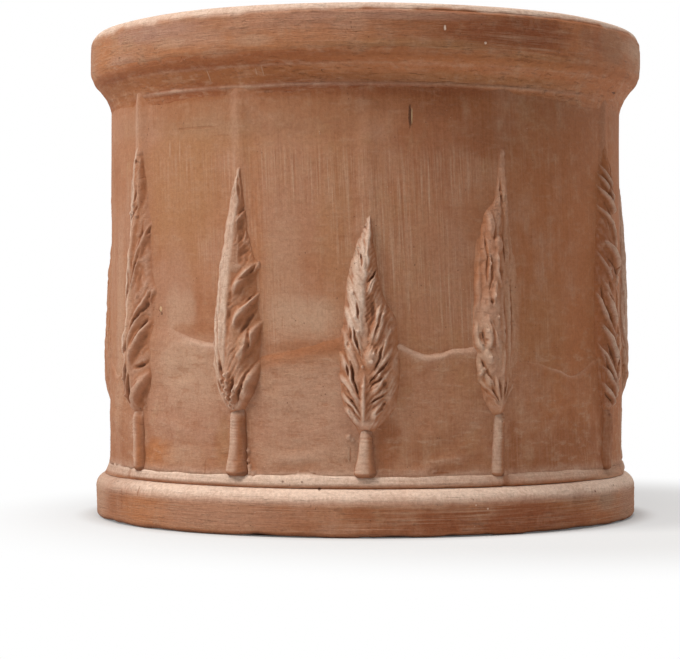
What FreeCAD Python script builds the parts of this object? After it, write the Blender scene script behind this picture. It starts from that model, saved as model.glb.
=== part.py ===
import FreeCAD, Part
import math
import os

from FreeCAD import Vector

os.makedirs("parts", exist_ok=True)

# Terracotta flower pot with cypress trees in relief. Millimetres and degrees.
# Z is up, the pot stands on Z = 0 with its axis on Z, and its front faces -Y.
# Angles round the pot start at the front and grow towards +X.

# Drum
pot_height = 388.0
drum_diameter = 416.0
wall_thickness = 24.0

# Floor slab and its drain hole
floor_thickness = 28.0
drain_diameter = 36.0

# Foot ring and the bead that runs round above it, both measured out from the drum
foot_projection = 12.0
foot_height = 35.0
foot_shoulder_radius = 9.0
foot_edge_radius = 3.5
bead_height = 8.5
bead_projection = 5.0
bead_radius = 3.6

# Rim band, which stands on the drum and hangs over it
rim_overhang = 17.0
rim_height = 37.0
lip_radius = 6.0
rim_lower_radius = 2.0
rim_inner_radius = 10.0

# Cove under the rim: a soffit that bends into a steeper slope and ends in a small lip on the drum
cove_height = 22.5
cove_setback = 2.0
soffit_drop = 9.5
soffit_foot = 7.5
cove_blend = 25.0
cove_lip = 1.8

# Hill panels. Each line gives the height of the ledge above the bead at even steps from tree to tree.
hill_thickness = 2.2
hill_lines = [
    (106.5, 99.0, 89.0, 94.5, 97.5),
    (89.5, 84.5, 72.0, 83.0, 91.5),
    (110.5, 108.5, 104.0, 97.0, 92.5),
    (87.5, 88.5, 95.5, 105.5, 108.5),
]

# Cypress trees: four patterns that repeat round the pot, each tree shifted a little as set by hand.
# A trunk stands on the bead, and a leader runs from the tip of the foliage up to the cove.
tree_count = 12
tree_shifts = [0.2, -2.0, 3.5, 0.0, 2.0, -1.5, 1.0, -2.0, 0.5, 0.0, 4.0, 3.3]
trunk_heights = [34.5, 45.5, 44.5, 47.5]
leader_lengths = [98.5, 49.5, 40.5, 61.5]
foliage_half_widths = [25.0, 24.5, 24.0, 24.5]
frond_pair_counts = [6, 8, 8, 7]

# Crown of a tree: a faceted teardrop that is widest low down, bedded in the wall
crown_relief = 5.2
crown_tip_relief = 1.6
crown_tip_half_width = 2.0
crown_bedding = 2.0
widest_at = 0.24
cheek_at = 0.82
cheek_fullness = 0.7
hip_at = 0.45
hip_fullness = 0.78
shoulder_fullness = 0.7
neck_margin = 0.8

# Fronds laid on the crown in pairs, smaller towards the top
frond_length = 52.0
frond_width = 17.0
frond_ridge = 5.4
frond_depth = 7.0
frond_belly_at = 0.4
frond_top_scale = 0.5
frond_stagger = 8.0
frond_spread = 1.06
frond_offset = 1.5
frond_first = 4.0
frond_last = 26.0
frond_bedding = 1.0
frond_tip_depth = 0.4

# Slender leader above the tip, rooted a little way down inside the foliage
leader_width = 9.0
leader_relief = 0.9
leader_lap = 25.0

# Trunks
trunk_radius = 7.2
trunk_foot_radius = 9.6
trunk_foot_height = 11.0
trunk_foot_blend = 14.0
trunk_stand_off = 0.8

drum_radius = drum_diameter / 2
inner_radius = drum_radius - wall_thickness
foot_radius = drum_radius + foot_projection
rim_radius = drum_radius + rim_overhang
rim_bottom = pot_height - rim_height
cove_bottom = rim_bottom - cove_height
bead_top = foot_height + bead_height
tree_pitch = 360.0 / tree_count
up = Vector(0, 0, 1)
centre = Vector(0, 0, 0)


def rounded_outline(corners):
    """A closed outline in the XZ plane through (radius, height, rounding) corners."""
    points = [Vector(radius, 0, height) for radius, height, rounding in corners]
    arrivals = []
    middles = []
    departures = []
    for index, (radius, height, rounding) in enumerate(corners):
        point = points[index]
        back = (points[index - 1] - point).normalize()
        ahead = (points[(index + 1) % len(points)] - point).normalize()
        half_angle = back.getAngle(ahead) / 2
        setback = rounding / math.tan(half_angle)
        inward = (back + ahead).normalize()
        arrivals.append(point + back * setback)
        departures.append(point + ahead * setback)
        middles.append(point + inward * (rounding / math.sin(half_angle) - rounding))
    edges = []
    for index, (radius, height, rounding) in enumerate(corners):
        if rounding > 0:
            edges.append(Part.Arc(arrivals[index], middles[index], departures[index]).toShape())
        edges.append(Part.makeLine(departures[index], arrivals[(index + 1) % len(corners)]))
    return Part.Wire(edges)


def turned(corners, sweep=360.0):
    """A ring, disc or sector turned about the Z axis."""
    return Part.Face(rounded_outline(corners)).revolve(centre, up, sweep)


def floor_slab():
    slab = Part.makeCylinder(drum_radius, floor_thickness)
    return slab.cut(Part.makeCylinder(drain_diameter / 2, floor_thickness))


def drum_wall():
    return turned([
        (inner_radius, floor_thickness, 0),
        (drum_radius, floor_thickness, 0),
        (drum_radius, rim_bottom, 0),
        (inner_radius, rim_bottom, 0),
    ])


def foot_ring():
    return turned([
        (drum_radius, 0, 0),
        (foot_radius, 0, foot_edge_radius),
        (foot_radius, foot_height, foot_shoulder_radius),
        (drum_radius, foot_height, 0),
    ])


def foot_bead():
    nose = drum_radius + bead_projection
    return turned([
        (drum_radius, foot_height, 0),
        (nose, foot_height, bead_radius),
        (nose, bead_top, bead_radius),
        (drum_radius, bead_top, 0),
    ])


def rim_cove():
    return turned([
        (drum_radius, cove_bottom, 0),
        (drum_radius + cove_lip, cove_bottom, 0),
        (drum_radius + soffit_foot, rim_bottom - soffit_drop, cove_blend),
        (rim_radius - cove_setback, rim_bottom, 0),
        (drum_radius, rim_bottom, 0),
    ])


def rim_band():
    return turned([
        (inner_radius, rim_bottom, 0),
        (rim_radius, rim_bottom, rim_lower_radius),
        (rim_radius, pot_height, lip_radius),
        (inner_radius, pot_height, rim_inner_radius),
    ])


def hill_panel(start, end, line):
    """A strip of clay on the drum from one tree to the next, up to its wavy ledge."""
    half_span = (end - start) / 2
    band = turned([
        (drum_radius, bead_top, 0),
        (drum_radius + hill_thickness, bead_top, 0),
        (drum_radius + hill_thickness, cove_bottom, 0),
        (drum_radius, cove_bottom, 0),
    ], end - start)
    band.rotate(centre, up, -90 - half_span)
    ledge_reach = drum_radius + 2 * hill_thickness
    ledge = []
    for step, height in enumerate(line):
        angle = math.radians(half_span * (2 * step / (len(line) - 1) - 1))
        ledge.append(Vector(ledge_reach * math.sin(angle), 0, bead_top + height))
    curve = Part.BSplineCurve()
    curve.interpolate(ledge)
    feet = [Vector(ledge[-1].x, 0, bead_top), Vector(ledge[0].x, 0, bead_top)]
    sides = Part.makePolygon([ledge[-1]] + feet + [ledge[0]])
    hill = Part.Face(Part.Wire([curve.toShape()] + sides.Edges))
    panel = largest(band.common(hill.extrude(Vector(0, -drum_diameter, 0))))
    panel.rotate(centre, up, (start + end) / 2)
    return panel


def on_drum(across, height, relief):
    """A point in front of the drum: arc length from the tree's axis, height, distance off the wall."""
    angle = across / drum_radius
    reach = drum_radius + relief
    return Vector(reach * math.sin(angle), -reach * math.cos(angle), height)


def facet(*corners):
    return Part.Face(Part.makePolygon(list(corners) + [corners[0]]))


def frond(base, tip, scale):
    """A carved leaf: three facets to the tip and three to the base, ridged in front and widest underneath."""
    axis = tip - base
    outward = Vector(base.x + tip.x, base.y + tip.y, 0).normalize()
    aside = axis.cross(outward).normalize() * (frond_width * scale / 2)
    belly = base + axis * frond_belly_at
    root = belly - outward * (frond_depth * scale)
    ring = [root + aside, belly + outward * (frond_ridge * scale), root - aside]
    faces = []
    for index, corner in enumerate(ring):
        following = ring[(index + 1) % len(ring)]
        faces.append(facet(base, corner, following))
        faces.append(facet(tip, corner, following))
    return Part.Solid(Part.Shell(faces))


def crown(bottom, top, half_width):
    """The body of a tree: a teardrop in plan, widest low down, rounded across and bedded in the wall."""
    widest = bottom + (top - bottom) * widest_at
    neck = trunk_radius + neck_margin
    levels = [
        (bottom, neck, crown_relief),
        (bottom + (widest - bottom) * hip_at, neck + (half_width - neck) * hip_fullness, crown_relief),
        (widest, half_width, crown_relief),
        ((widest + top) / 2, half_width * shoulder_fullness, (crown_relief + crown_tip_relief) / 2),
        (top, crown_tip_half_width, crown_tip_relief),
    ]
    rows = []
    for height, reach, relief in levels:
        side = reach * cheek_at
        rows.append([
            on_drum(-reach, height, -crown_bedding),
            on_drum(-side, height, relief * cheek_fullness),
            on_drum(0, height, relief),
            on_drum(side, height, relief * cheek_fullness),
            on_drum(reach, height, -crown_bedding),
        ])
    faces = [facet(*rows[0]), facet(*rows[-1])]
    for lower, upper in zip(rows, rows[1:]):
        faces.append(facet(lower[0], lower[-1], upper[-1], upper[0]))
        for column in range(len(lower) - 1):
            faces.append(facet(lower[column], lower[column + 1], upper[column]))
            faces.append(facet(lower[column + 1], upper[column + 1], upper[column]))
    return Part.Solid(Part.Shell(faces))


def frond_pairs(bottom, top, half_width, tiers):
    """Fronds from the neck to the tip, left and right in turn, each from the spine out to the edge."""
    widest = bottom + (top - bottom) * widest_at
    fronds = []
    for tier in range(tiers):
        share = tier / tiers
        scale = 1 - (1 - frond_top_scale) * share
        relief = crown_relief + (crown_tip_relief - crown_relief) * share
        for side in (-1, 1):
            stagger = frond_stagger * scale * (side + 1) / 2
            low = bottom + frond_first + (top - bottom - frond_last) * share + stagger
            high = min(low + frond_length * scale, top + stagger / 2)
            narrowing = min(1, (top + frond_stagger - high) / (top + frond_stagger - widest))
            reach = half_width * frond_spread * narrowing ** 0.7
            base = on_drum(side * frond_offset * scale, low, relief - frond_bedding)
            tip = on_drum(side * reach, high, -frond_tip_depth)
            fronds.append(frond(base, tip, scale))
    return fronds


def leader(top):
    """A low rounded rib on the wall from inside the tip of the tree up to the cove."""
    rounding = leader_width ** 2 / (8 * leader_relief) + leader_relief / 2
    axis = Vector(0, -(drum_radius + leader_relief - rounding), top - leader_lap)
    return Part.makeCylinder(rounding, cove_bottom - axis.z, axis)


def tree(bottom, top, half_width, tiers):
    """Crown, fronds and leader of one tree at the front of the pot, still bedded in the wall."""
    pieces = frond_pairs(bottom, top, half_width, tiers) + [leader(top)]
    return crown(bottom, top, half_width).multiFuse(pieces)


def trunk_roll(top):
    """A roll of clay with a spread foot that laps the bead, up to the underside of the crown."""
    low = foot_height + bead_height / 2
    roll = turned([
        (0, low, 0),
        (trunk_foot_radius, low, 0),
        (trunk_radius, bead_top + trunk_foot_height, trunk_foot_blend),
        (trunk_radius, top, 0),
        (0, top, 0),
    ])
    roll.translate(Vector(0, -(drum_radius + trunk_stand_off), 0))
    return roll


def largest(shape):
    """The piece itself, without the crumb that a ledge can cut off the end of a frond."""
    return max(shape.Solids, key=lambda solid: solid.Volume)


def save(name, shape):
    shape.exportStep("parts/" + name + ".step")


bead = foot_bead()
save("floor_slab", floor_slab())
save("drum_wall", drum_wall())
save("foot_ring", foot_ring())
save("foot_bead", bead)
save("rim_cove", rim_cove())
save("rim_band", rim_band())

angles = []
for index in range(tree_count):
    angles.append(tree_pitch * index + tree_shifts[index % len(tree_shifts)])

panels = []
for index in range(tree_count):
    end = angles[(index + 1) % tree_count] + 360.0 * ((index + 1) // tree_count)
    panels.append(hill_panel(angles[index], end, hill_lines[index % len(hill_lines)]))
    save("hill_panel_%02d" % (index + 1), panels[index])

patterns = []
for kind in range(len(leader_lengths)):
    neck_height = bead_top + trunk_heights[kind]
    tip_height = cove_bottom - leader_lengths[kind]
    patterns.append(tree(neck_height, tip_height, foliage_half_widths[kind], frond_pair_counts[kind]))

backing = Part.makeCylinder(drum_radius, pot_height)
for index in range(tree_count):
    kind = index % len(patterns)
    seat = [backing, panels[index - 1], panels[index]]
    foliage = patterns[kind].copy()
    foliage.rotate(centre, up, angles[index])
    save("cypress_foliage_%02d" % (index + 1), largest(foliage.cut(seat)))
    trunk = trunk_roll(bead_top + trunk_heights[kind])
    trunk.rotate(centre, up, angles[index])
    save("cypress_trunk_%02d" % (index + 1), largest(trunk.cut(seat + [bead])))
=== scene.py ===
import math

import bpy
import numpy as np
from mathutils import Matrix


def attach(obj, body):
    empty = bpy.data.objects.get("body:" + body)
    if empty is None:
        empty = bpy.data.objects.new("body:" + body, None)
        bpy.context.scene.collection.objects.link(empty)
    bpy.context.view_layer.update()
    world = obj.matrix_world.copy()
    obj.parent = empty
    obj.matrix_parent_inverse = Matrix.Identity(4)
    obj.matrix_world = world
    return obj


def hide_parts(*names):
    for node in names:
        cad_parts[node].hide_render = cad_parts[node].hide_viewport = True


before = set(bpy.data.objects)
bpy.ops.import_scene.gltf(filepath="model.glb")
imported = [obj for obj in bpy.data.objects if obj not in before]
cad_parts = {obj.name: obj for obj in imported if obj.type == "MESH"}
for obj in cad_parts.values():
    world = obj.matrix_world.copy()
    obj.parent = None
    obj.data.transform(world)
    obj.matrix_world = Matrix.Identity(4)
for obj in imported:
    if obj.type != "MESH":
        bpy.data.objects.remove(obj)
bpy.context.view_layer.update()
mm = 0.001
print("frame loaded,", len(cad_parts), "nodes")

# sizes of the pot in millimetres, angles in degrees from the front towards +X
pot = {
    "drumRadius": 208.0,
    "innerRadius": 184.0,
    "treeAngles": [0.2, 28.0, 63.5, 90.0, 122.0, 148.5, 181.0, 208.0, 240.5, 270.0, 304.0, 333.3],
}


# shader wiring


class Wire:
    # a value in a node tree, arithmetic on it adds Math nodes
    def __init__(self, paint, socket):
        self.paint, self.socket = paint, socket

    def calc(self, operation, *others):
        return self.paint.calc(operation, self, *others)

    def __add__(self, other):
        return self.calc("ADD", other)

    def __sub__(self, other):
        return self.calc("SUBTRACT", other)

    def __rsub__(self, other):
        return self.paint.calc("SUBTRACT", other, self)

    def __mul__(self, other):
        return self.calc("MULTIPLY", other)

    def __truediv__(self, other):
        return self.calc("DIVIDE", other)

    def __pow__(self, other):
        return self.calc("POWER", other)

    def __rtruediv__(self, other):
        return self.paint.calc("DIVIDE", other, self)

    def __rpow__(self, other):
        return self.paint.calc("POWER", other, self)

    __radd__ = __add__
    __rmul__ = __mul__


class Paint:
    # one node tree, and the ways to add to it
    def __init__(self, tree):
        self.tree = tree
        tree.nodes.clear()

    def node(self, kind, settings=None, links=None, out=0):
        made = self.tree.nodes.new(kind)
        for key, value in (settings or {}).items():
            setattr(made, key, value)
        for key, value in (links or {}).items():
            socket = made.inputs[key]
            if isinstance(value, Wire):
                self.tree.links.new(value.socket, socket)
            elif socket.type == "RGBA":
                socket.default_value = (*value, 1)
            else:
                socket.default_value = value
        return Wire(self, made.outputs[out]) if made.outputs else None

    def calc(self, operation, *values):
        return self.node("ShaderNodeMath", {"operation": operation}, dict(enumerate(values)))

    def mix(self, below, above, share, blend="MIX"):
        # sockets 6 and 7 are the two colours, output 2 is the mixed one
        settings = {"data_type": "RGBA", "blend_type": blend}
        return self.node("ShaderNodeMix", settings, {0: share, 6: below, 7: above}, 2)

    def step(self, value, low, high):
        # 0 at low and 1 at high, whichever of them is the larger
        settings = {"interpolation_type": "SMOOTHSTEP"}
        return self.node("ShaderNodeMapRange", settings, {0: value, 1: low, 2: high, 3: 0.0, 4: 1.0})

    def noise(self, place, stretch, detail, rough=0.55):
        scaled = self.node("ShaderNodeVectorMath", {"operation": "MULTIPLY"}, {0: place, 1: stretch})
        links = {"Vector": scaled, "Scale": 1.0, "Detail": detail, "Roughness": rough}
        return self.node("ShaderNodeTexNoise", {"noise_dimensions": "3D"}, links)

    def specks(self, place, scale):
        return self.node("ShaderNodeTexVoronoi", {"feature": "F1"}, {"Vector": place, "Scale": scale})


# clay finishes

clayColours = {
    "mid": (0.410, 0.186, 0.098),
    "ochre": (0.400, 0.192, 0.088),
    "deep": (0.305, 0.108, 0.044),
    "rust": (0.455, 0.160, 0.060),
    "umber": (0.330, 0.122, 0.046),
    "burnt": (0.265, 0.074, 0.027),
    "pink": (0.440, 0.232, 0.150),
    "orange": (0.450, 0.175, 0.068),
    "pale": (0.520, 0.330, 0.222),
    "dust": (0.680, 0.505, 0.400),
    "bloom": (0.790, 0.590, 0.470),
    "mauve": (0.375, 0.205, 0.150),
    "straw": (0.700, 0.480, 0.270),
    "grey": (0.330, 0.235, 0.165),
    "soot": (0.130, 0.052, 0.027),
}

# soft colour patches on wall and trees, most of them stains and some painted shade and painted light as
# marked: angle, height, half width and half height in mm, colour, strength
stains = [
    (-69, 150, 14, 90, "pale", 0.5),
    (-42, 265, 40, 70, "ochre", 0.7),
    (-33, 300, 36, 26, "ochre", 0.6),
    (-44, 165, 20, 50, "pink", 0.7),
    (-40, 100, 60, 46, "pink", 0.9),
    (-38, 118, 40, 24, "pale", 0.55),
    (-12, 84, 60, 44, "pink", 0.9),
    (-10, 58, 50, 16, "pale", 0.45),
    (-17, 185, 14, 60, "pale", 0.35),
    (-12.5, 160, 30, 17, "pale", 0.85),
    # painted shadow under the step of the ledge between the trees at -26.7 and 0.2 degrees
    (-13, 134, 28, 9, "umber", 0.35),
    (-13, 138, 28, 6, "deep", 0.5),
    (-44, 164, 9, 18, "pale", 0.5),
    (-40, 166, 7, 14, "pale", 0.4),
    # painted shade of the rim and cove on the wall below them
    (-20, 319, 160, 13, "rust", 0.5),
    (-30, 322, 160, 9, "umber", 0.4),
    # painted light: a paler, greyer strip down the right edge, lit from behind on the right
    (84, 215, 16, 130, "grey", 0.5),
    (-50, 56, 26, 12, "orange", 0.95),
    (-16, 260, 26, 60, "pink", 0.4),
    (-23, 225, 7, 60, "orange", 0.35),
    (-6, 225, 12, 60, "ochre", 0.45),
    # a wide patch that makes the whole right side darker and redder
    (62, 190, 110, 190, "rust", 0.8),
    # painted shade of the rim and cove on the wall below them
    (8, 318, 80, 20, "rust", 0.6),
    (12, 320, 70, 16, "deep", 0.6),
    (27, 293, 26, 18, "deep", 0.75),
    (48, 300, 60, 50, "deep", 0.4),
    (48, 60, 60, 26, "deep", 0.8),
    (14, 265, 30, 40, "rust", 0.35),
    (-41, 56, 22, 10, "pale", 0.5),
    (-13, 104, 32, 34, "pale", 0.35),
    (-42, 127, 24, 16, "pale", 0.5),
    # painted shadows cast to the right of four trunks, away from the key lamp
    (4.4, 68, 11, 24, "deep", 0.85),
    (-24.6, 72, 5, 26, "deep", 0.7),
    (31.6, 70, 7, 24, "deep", 0.8),
    (-53.5, 72, 7, 24, "deep", 0.6),
    (-29.8, 66, 8, 20, "ochre", 0.6),
    (14, 220, 24, 80, "pink", 0.3),
    (40, 150, 26, 50, "ochre", 0.45),
    (-30, 310, 150, 16, "grey", 0.3),
    # painted shadow above the ledge between the trees at -56 and -26.7 degrees
    (-38, 151, 22, 5, "umber", 0.4),
    # a wide patch that makes the whole right side darker
    (58, 200, 100, 150, "umber", 0.38),
    # painted shade under the cove's lip
    (-6, 326, 140, 6, "burnt", 0.6),
    (-40, 327, 70, 6, "umber", 0.6),
    (15, 286, 34, 42, "burnt", 0.35),
    # painted shade of the rim and cove on the wall below them
    (-15, 312, 60, 20, "umber", 0.4),
    (-46, 314, 40, 16, "umber", 0.4),
    (62, 72, 26, 32, "burnt", 0.35),
    (15, 62, 30, 20, "deep", 0.35),
    # painted light: a pale strip low on the right edge, lit from behind on the right
    (85, 70, 20, 36, "pale", 0.7),
    (150, 220, 60, 60, "pale", 0.4),
    (158, 84, 46, 26, "orange", 0.6),
    (-130, 250, 50, 60, "deep", 0.4),
    (116, 74, 40, 30, "pink", 0.8),
    (138, 128, 36, 24, "pale", 0.45),
    (160, 306, 60, 24, "umber", 0.5),
    (-152, 200, 24, 80, "pink", 0.5),
    (-146, 82, 44, 36, "pink", 0.9),
    (-112, 62, 40, 18, "orange", 0.7),
    (-118, 160, 30, 40, "pale", 0.4),
    (-108, 305, 50, 30, "ochre", 0.6),
]

# single marks with crisp edges, in the same order, and last how deep they are pressed
wallMarks = [
    (9.0, 306, 1.3, 8.6, "soot", 0.95, 1.0),
    (9.35, 307, 0.42, 6.4, "straw", 0.9, -0.6),
    (-37.4, 301.6, 22, 1.0, "deep", 0.35, 0.3),
    (-31.0, 294.6, 9, 0.8, "deep", 0.25, 0.2),
    (-12.2, 47.2, 7, 0.7, "pale", 0.6, -0.3),
    (-11.6, 45.8, 6, 0.6, "deep", 0.6, 0.3),
    (15.4, 46.4, 7, 0.8, "deep", 0.7, 0.3),
    (-34.6, 48.5, 1.0, 5, "deep", 0.4, 0.3),
    (-3.4, 60, 0.6, 6, "pale", 0.6, -0.4),
    (-3.0, 60, 0.5, 6, "deep", 0.5, 0.3),
    (-48.4, 166.4, 1.5, 2.2, "straw", 0.75, -1.2),
    (-48.1, 163.0, 1.3, 1.2, "soot", 0.6, 0.8),
    (-45.5, 287, 0.8, 7, "pale", 0.5, 0.0),
    (-42.4, 285, 0.8, 9, "pale", 0.45, 0.0),
]
rimMarks = [
    (14.8, 369, 0.9, 2.1, "bloom", 0.95, 0.4),
    (22.9, 359.4, 1.1, 1.0, "bloom", 0.85, 0.3),
]
coveMarks = [
    (67, 336.7, 5, 0.7, "soot", 0.8, 0.8),
    (-33, 339, 0.5, 4, "pale", 0.6, 0.2),
    (-22, 339.5, 0.5, 3, "pale", 0.5, 0.2),
    (-20.6, 340, 0.5, 4, "pale", 0.45, 0.2),
]
footMarks = [
    (-58.7, 20, 0.9, 9, "deep", 0.45, 0.3),
    (-56.6, 22, 0.7, 8, "deep", 0.35, 0.3),
    (-52, 27, 1.0, 4, "deep", 0.5, 0.4),
    (53, 27.5, 1.0, 0.9, "soot", 0.8, 0.6),
    (62, 30, 0.9, 0.8, "soot", 0.7, 0.6),
    (-16.5, 39.9, 0.9, 0.9, "soot", 0.6, 0.5),
    (-12.6, 39.9, 0.8, 0.8, "soot", 0.6, 0.5),
    (-9.1, 35.0, 1.2, 1.0, "soot", 0.8, 0.8),
    (24, 20, 0.8, 0.8, "bloom", 0.7, 0.2),
    (21.5, 23, 0.7, 0.7, "bloom", 0.6, 0.2),
]


# what all the finishes share: noise in waves per metre, where stains and marks fade, and the surface
clayGrain = {
    "blotch": (7.0, 7.0, 7.0), "cloud": (26.0, 26.0, 20.0), "curd": (85.0, 85.0, 70.0),
    "sand": (420.0, 420.0, 420.0), "grain": (1500.0, 1500.0, 1500.0),
    "pits": 260.0, "pitPatches": (60.0, 60.0, 60.0), "grits": 330.0, "gritPatches": (90.0, 90.0, 90.0),
    "outsideFrom": 0.192, "outsideTo": 0.2, "stainFade": (1.6, -0.2), "markFade": (1.2, 0.5),
    "sandShade": (0.76, 0.74, 0.72), "bumpDistance": 0.0008, "gloss": 0.22,
}


def clay(name, look):
    finish = bpy.data.materials.new(name)
    finish.use_nodes = True
    paint = Paint(finish.node_tree)
    step = paint.step
    place = paint.node("ShaderNodeTexCoord", out="Object")
    x, y, z = (paint.node("ShaderNodeSeparateXYZ", None, {0: place}, axis) for axis in "XYZ")
    turn = paint.calc("ARCTAN2", x, y * -1.0)
    outside = step((x * x + y * y) ** 0.5, clayGrain["outsideFrom"], clayGrain["outsideTo"])

    def tinted(colour, tone, share):
        return paint.mix(colour, clayColours[tone], share)

    def oval(angle, height, halfWide, halfHigh):
        # 0 in the middle of an oval on the pot, 1 on its edge
        across = (turn - math.radians(angle)) * (pot["drumRadius"] / halfWide)
        upward = (z - height * mm) / (halfHigh * mm)
        return across * across + upward * upward

    blotch = paint.noise(place, clayGrain["blotch"], 4.0)
    cloud = paint.noise(place, clayGrain["cloud"], 4.0, 0.6)
    curd = paint.noise(place, clayGrain["curd"], 4.0, 0.62)
    grain = paint.noise(place, clayGrain["grain"], 2.0, 0.7)
    sand = paint.noise(place, clayGrain["sand"], 3.0, 0.65)
    # the hollow attribute holds dirt and painted shade, the crest attribute holds dust and painted highlight
    hollow = paint.node("ShaderNodeAttribute", {"attribute_name": "hollow"}, out="Fac")
    crest = paint.node("ShaderNodeAttribute", {"attribute_name": "crest"}, out="Fac")

    # strokes lean a little to the right on their way down
    twist = z * look["lean"]
    leaned = paint.node("ShaderNodeCombineXYZ", None, {0: x - y * twist, 1: y + x * twist, 2: z})
    strokes = paint.noise(leaned, look["strokeStretch"], 3.0)
    finer = paint.noise(leaned, look["finerStretch"], 3.0, 0.6)
    wisps = paint.noise(place, look["wispStretch"], 4.0, 0.6)
    tears = paint.noise(place, look["tearStretch"], 3.0, 0.6)
    scrape = paint.noise(place, look["scrapeStretch"], 4.0, 0.65)

    colour = tinted(clayColours["deep"], "mid", step(blotch * 0.75 + cloud * 0.25, 0.26, 0.50))
    colour = tinted(colour, "ochre", step(curd * 0.5 + blotch * 0.5, 0.50, 0.62) * look["ochre"])
    colour = tinted(colour, "pink", step(cloud, 0.44, 0.66) * look["pink"])
    colour = tinted(colour, "orange", step(cloud + blotch * 0.7, 0.92, 1.10) * look["orange"])

    edge = (cloud - 0.5) * 2.4 + (curd - 0.5) * 1.5 + (strokes - 0.5) * look["edge"]
    for *spot, tone, strength in look["stains"]:
        colour = tinted(colour, tone, step(oval(*spot) + edge, *clayGrain["stainFade"]) * outside * strength)

    # small mottling of the fired clay, and scrapes that show most below the brushed part
    zone = 0.3 + 0.7 * step(z, look["brushLow"] - 0.02, look["brushLow"] + 0.02)
    scraped = 1.5 - zone
    mottled = (0.6 + 0.7 * scraped) * look["mottle"]
    colour = tinted(colour, "deep", step(curd, 0.47, 0.33) * mottled)
    colour = tinted(colour, "pale", step(curd, 0.54, 0.68) * mottled * 0.7)
    colour = tinted(colour, "deep", step(scrape, 0.47, 0.31) * scraped * look["scrapes"])
    colour = tinted(colour, "pale", step(scrape, 0.53, 0.69) * scraped * look["scrapes"])

    # brushed streaks of pale slip, stronger in patches and below a line
    patch = step(blotch + (cloud - 0.5) * 0.6, 0.40, 0.62)
    patch = patch * step(z, look["brushTop"], look["brushTop"] - 0.016)
    light = step(strokes, 0.50, 0.70) * 0.6 + step(finer, 0.50, 0.68) * 0.6
    colour = tinted(colour, "pale", light * (patch * 0.92 + 0.08) * zone * look["streaks"])
    dark = step(strokes, 0.47, 0.30) * 0.6 + step(finer, 0.48, 0.32) * 0.6
    colour = tinted(colour, "deep", dark * (patch * 0.7 + 0.3) * zone * look["streaks"] * 0.75)
    colour = tinted(colour, "pale", step(wisps, 0.53, 0.68) * look["wisps"])
    colour = tinted(colour, "deep", step(wisps, 0.46, 0.32) * look["wisps"])
    torn = step(tears, 0.44, 0.34) * step(curd, 0.42, 0.56)
    colour = tinted(colour, "soot", torn * look["tears"])
    colour = tinted(colour, "pale", step(tears, 0.58, 0.68) * look["tears"] * 0.7)

    # dust and painted highlight on what stands proud, dirt and painted shade in what lies deep
    rub = step(curd * 0.6 + sand * 0.4, 0.34, 0.60)
    colour = tinted(colour, look["crestTone"], crest * look["dust"] * (0.7 + 0.3 * rub))
    colour = tinted(colour, "rust", step(hollow, 0.02, 0.35) * look["rust"])
    colour = tinted(colour, "soot", hollow * look["shadeAndDirt"])
    pressed = 0.0
    for *spot, tone, strength, depth in look["marks"]:
        mark = step(oval(*spot) + (sand - 0.5) * 1.6, *clayGrain["markFade"]) * outside
        colour = tinted(colour, tone, mark * strength)
        pressed = pressed + mark * depth

    # small grits and pits, then the shade between grains of sand
    gate = step(paint.noise(place, clayGrain["pitPatches"], 2.0), 0.60, 0.66)
    pit = step(paint.specks(place, clayGrain["pits"]), 0.16, 0.06) * gate
    grit = step(paint.specks(place, clayGrain["grits"]), 0.12, 0.05) * (1 - gate)
    grit = grit * step(paint.noise(place, clayGrain["gritPatches"], 2.0), 0.64, 0.70)
    colour = tinted(colour, "soot", pit * 0.75)
    colour = tinted(colour, "dust", grit * 0.9)
    shade = step(grain * 0.45 + sand * 0.55, 0.34, 0.64)
    colour = paint.mix(colour, clayGrain["sandShade"], (1 - shade) * look["sandy"], "MULTIPLY")

    rough = 0.82 + 0.12 * sand
    height = sand * 0.45 + grain * 0.2 + strokes * look["strokeDepth"] + finer * look["strokeDepth"] * 0.5
    height = height + wisps * look["wispDepth"] + (tears - torn) * look["tearDepth"] + curd * 0.8
    height = height + scrape * scraped * look["scrapeDepth"]
    height = height + grit * 0.5 - pit * 1.2 - pressed * 2.0
    links = {"Strength": look["bump"], "Distance": clayGrain["bumpDistance"], "Height": height}
    bump = paint.node("ShaderNodeBump", None, links)
    links = {"Base Color": colour, "Roughness": rough, "Normal": bump}
    links["Specular IOR Level"] = clayGrain["gloss"]
    shader = paint.node("ShaderNodeBsdfPrincipled", None, links)
    paint.node("ShaderNodeOutputMaterial", None, {"Surface": shader})
    return finish
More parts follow.
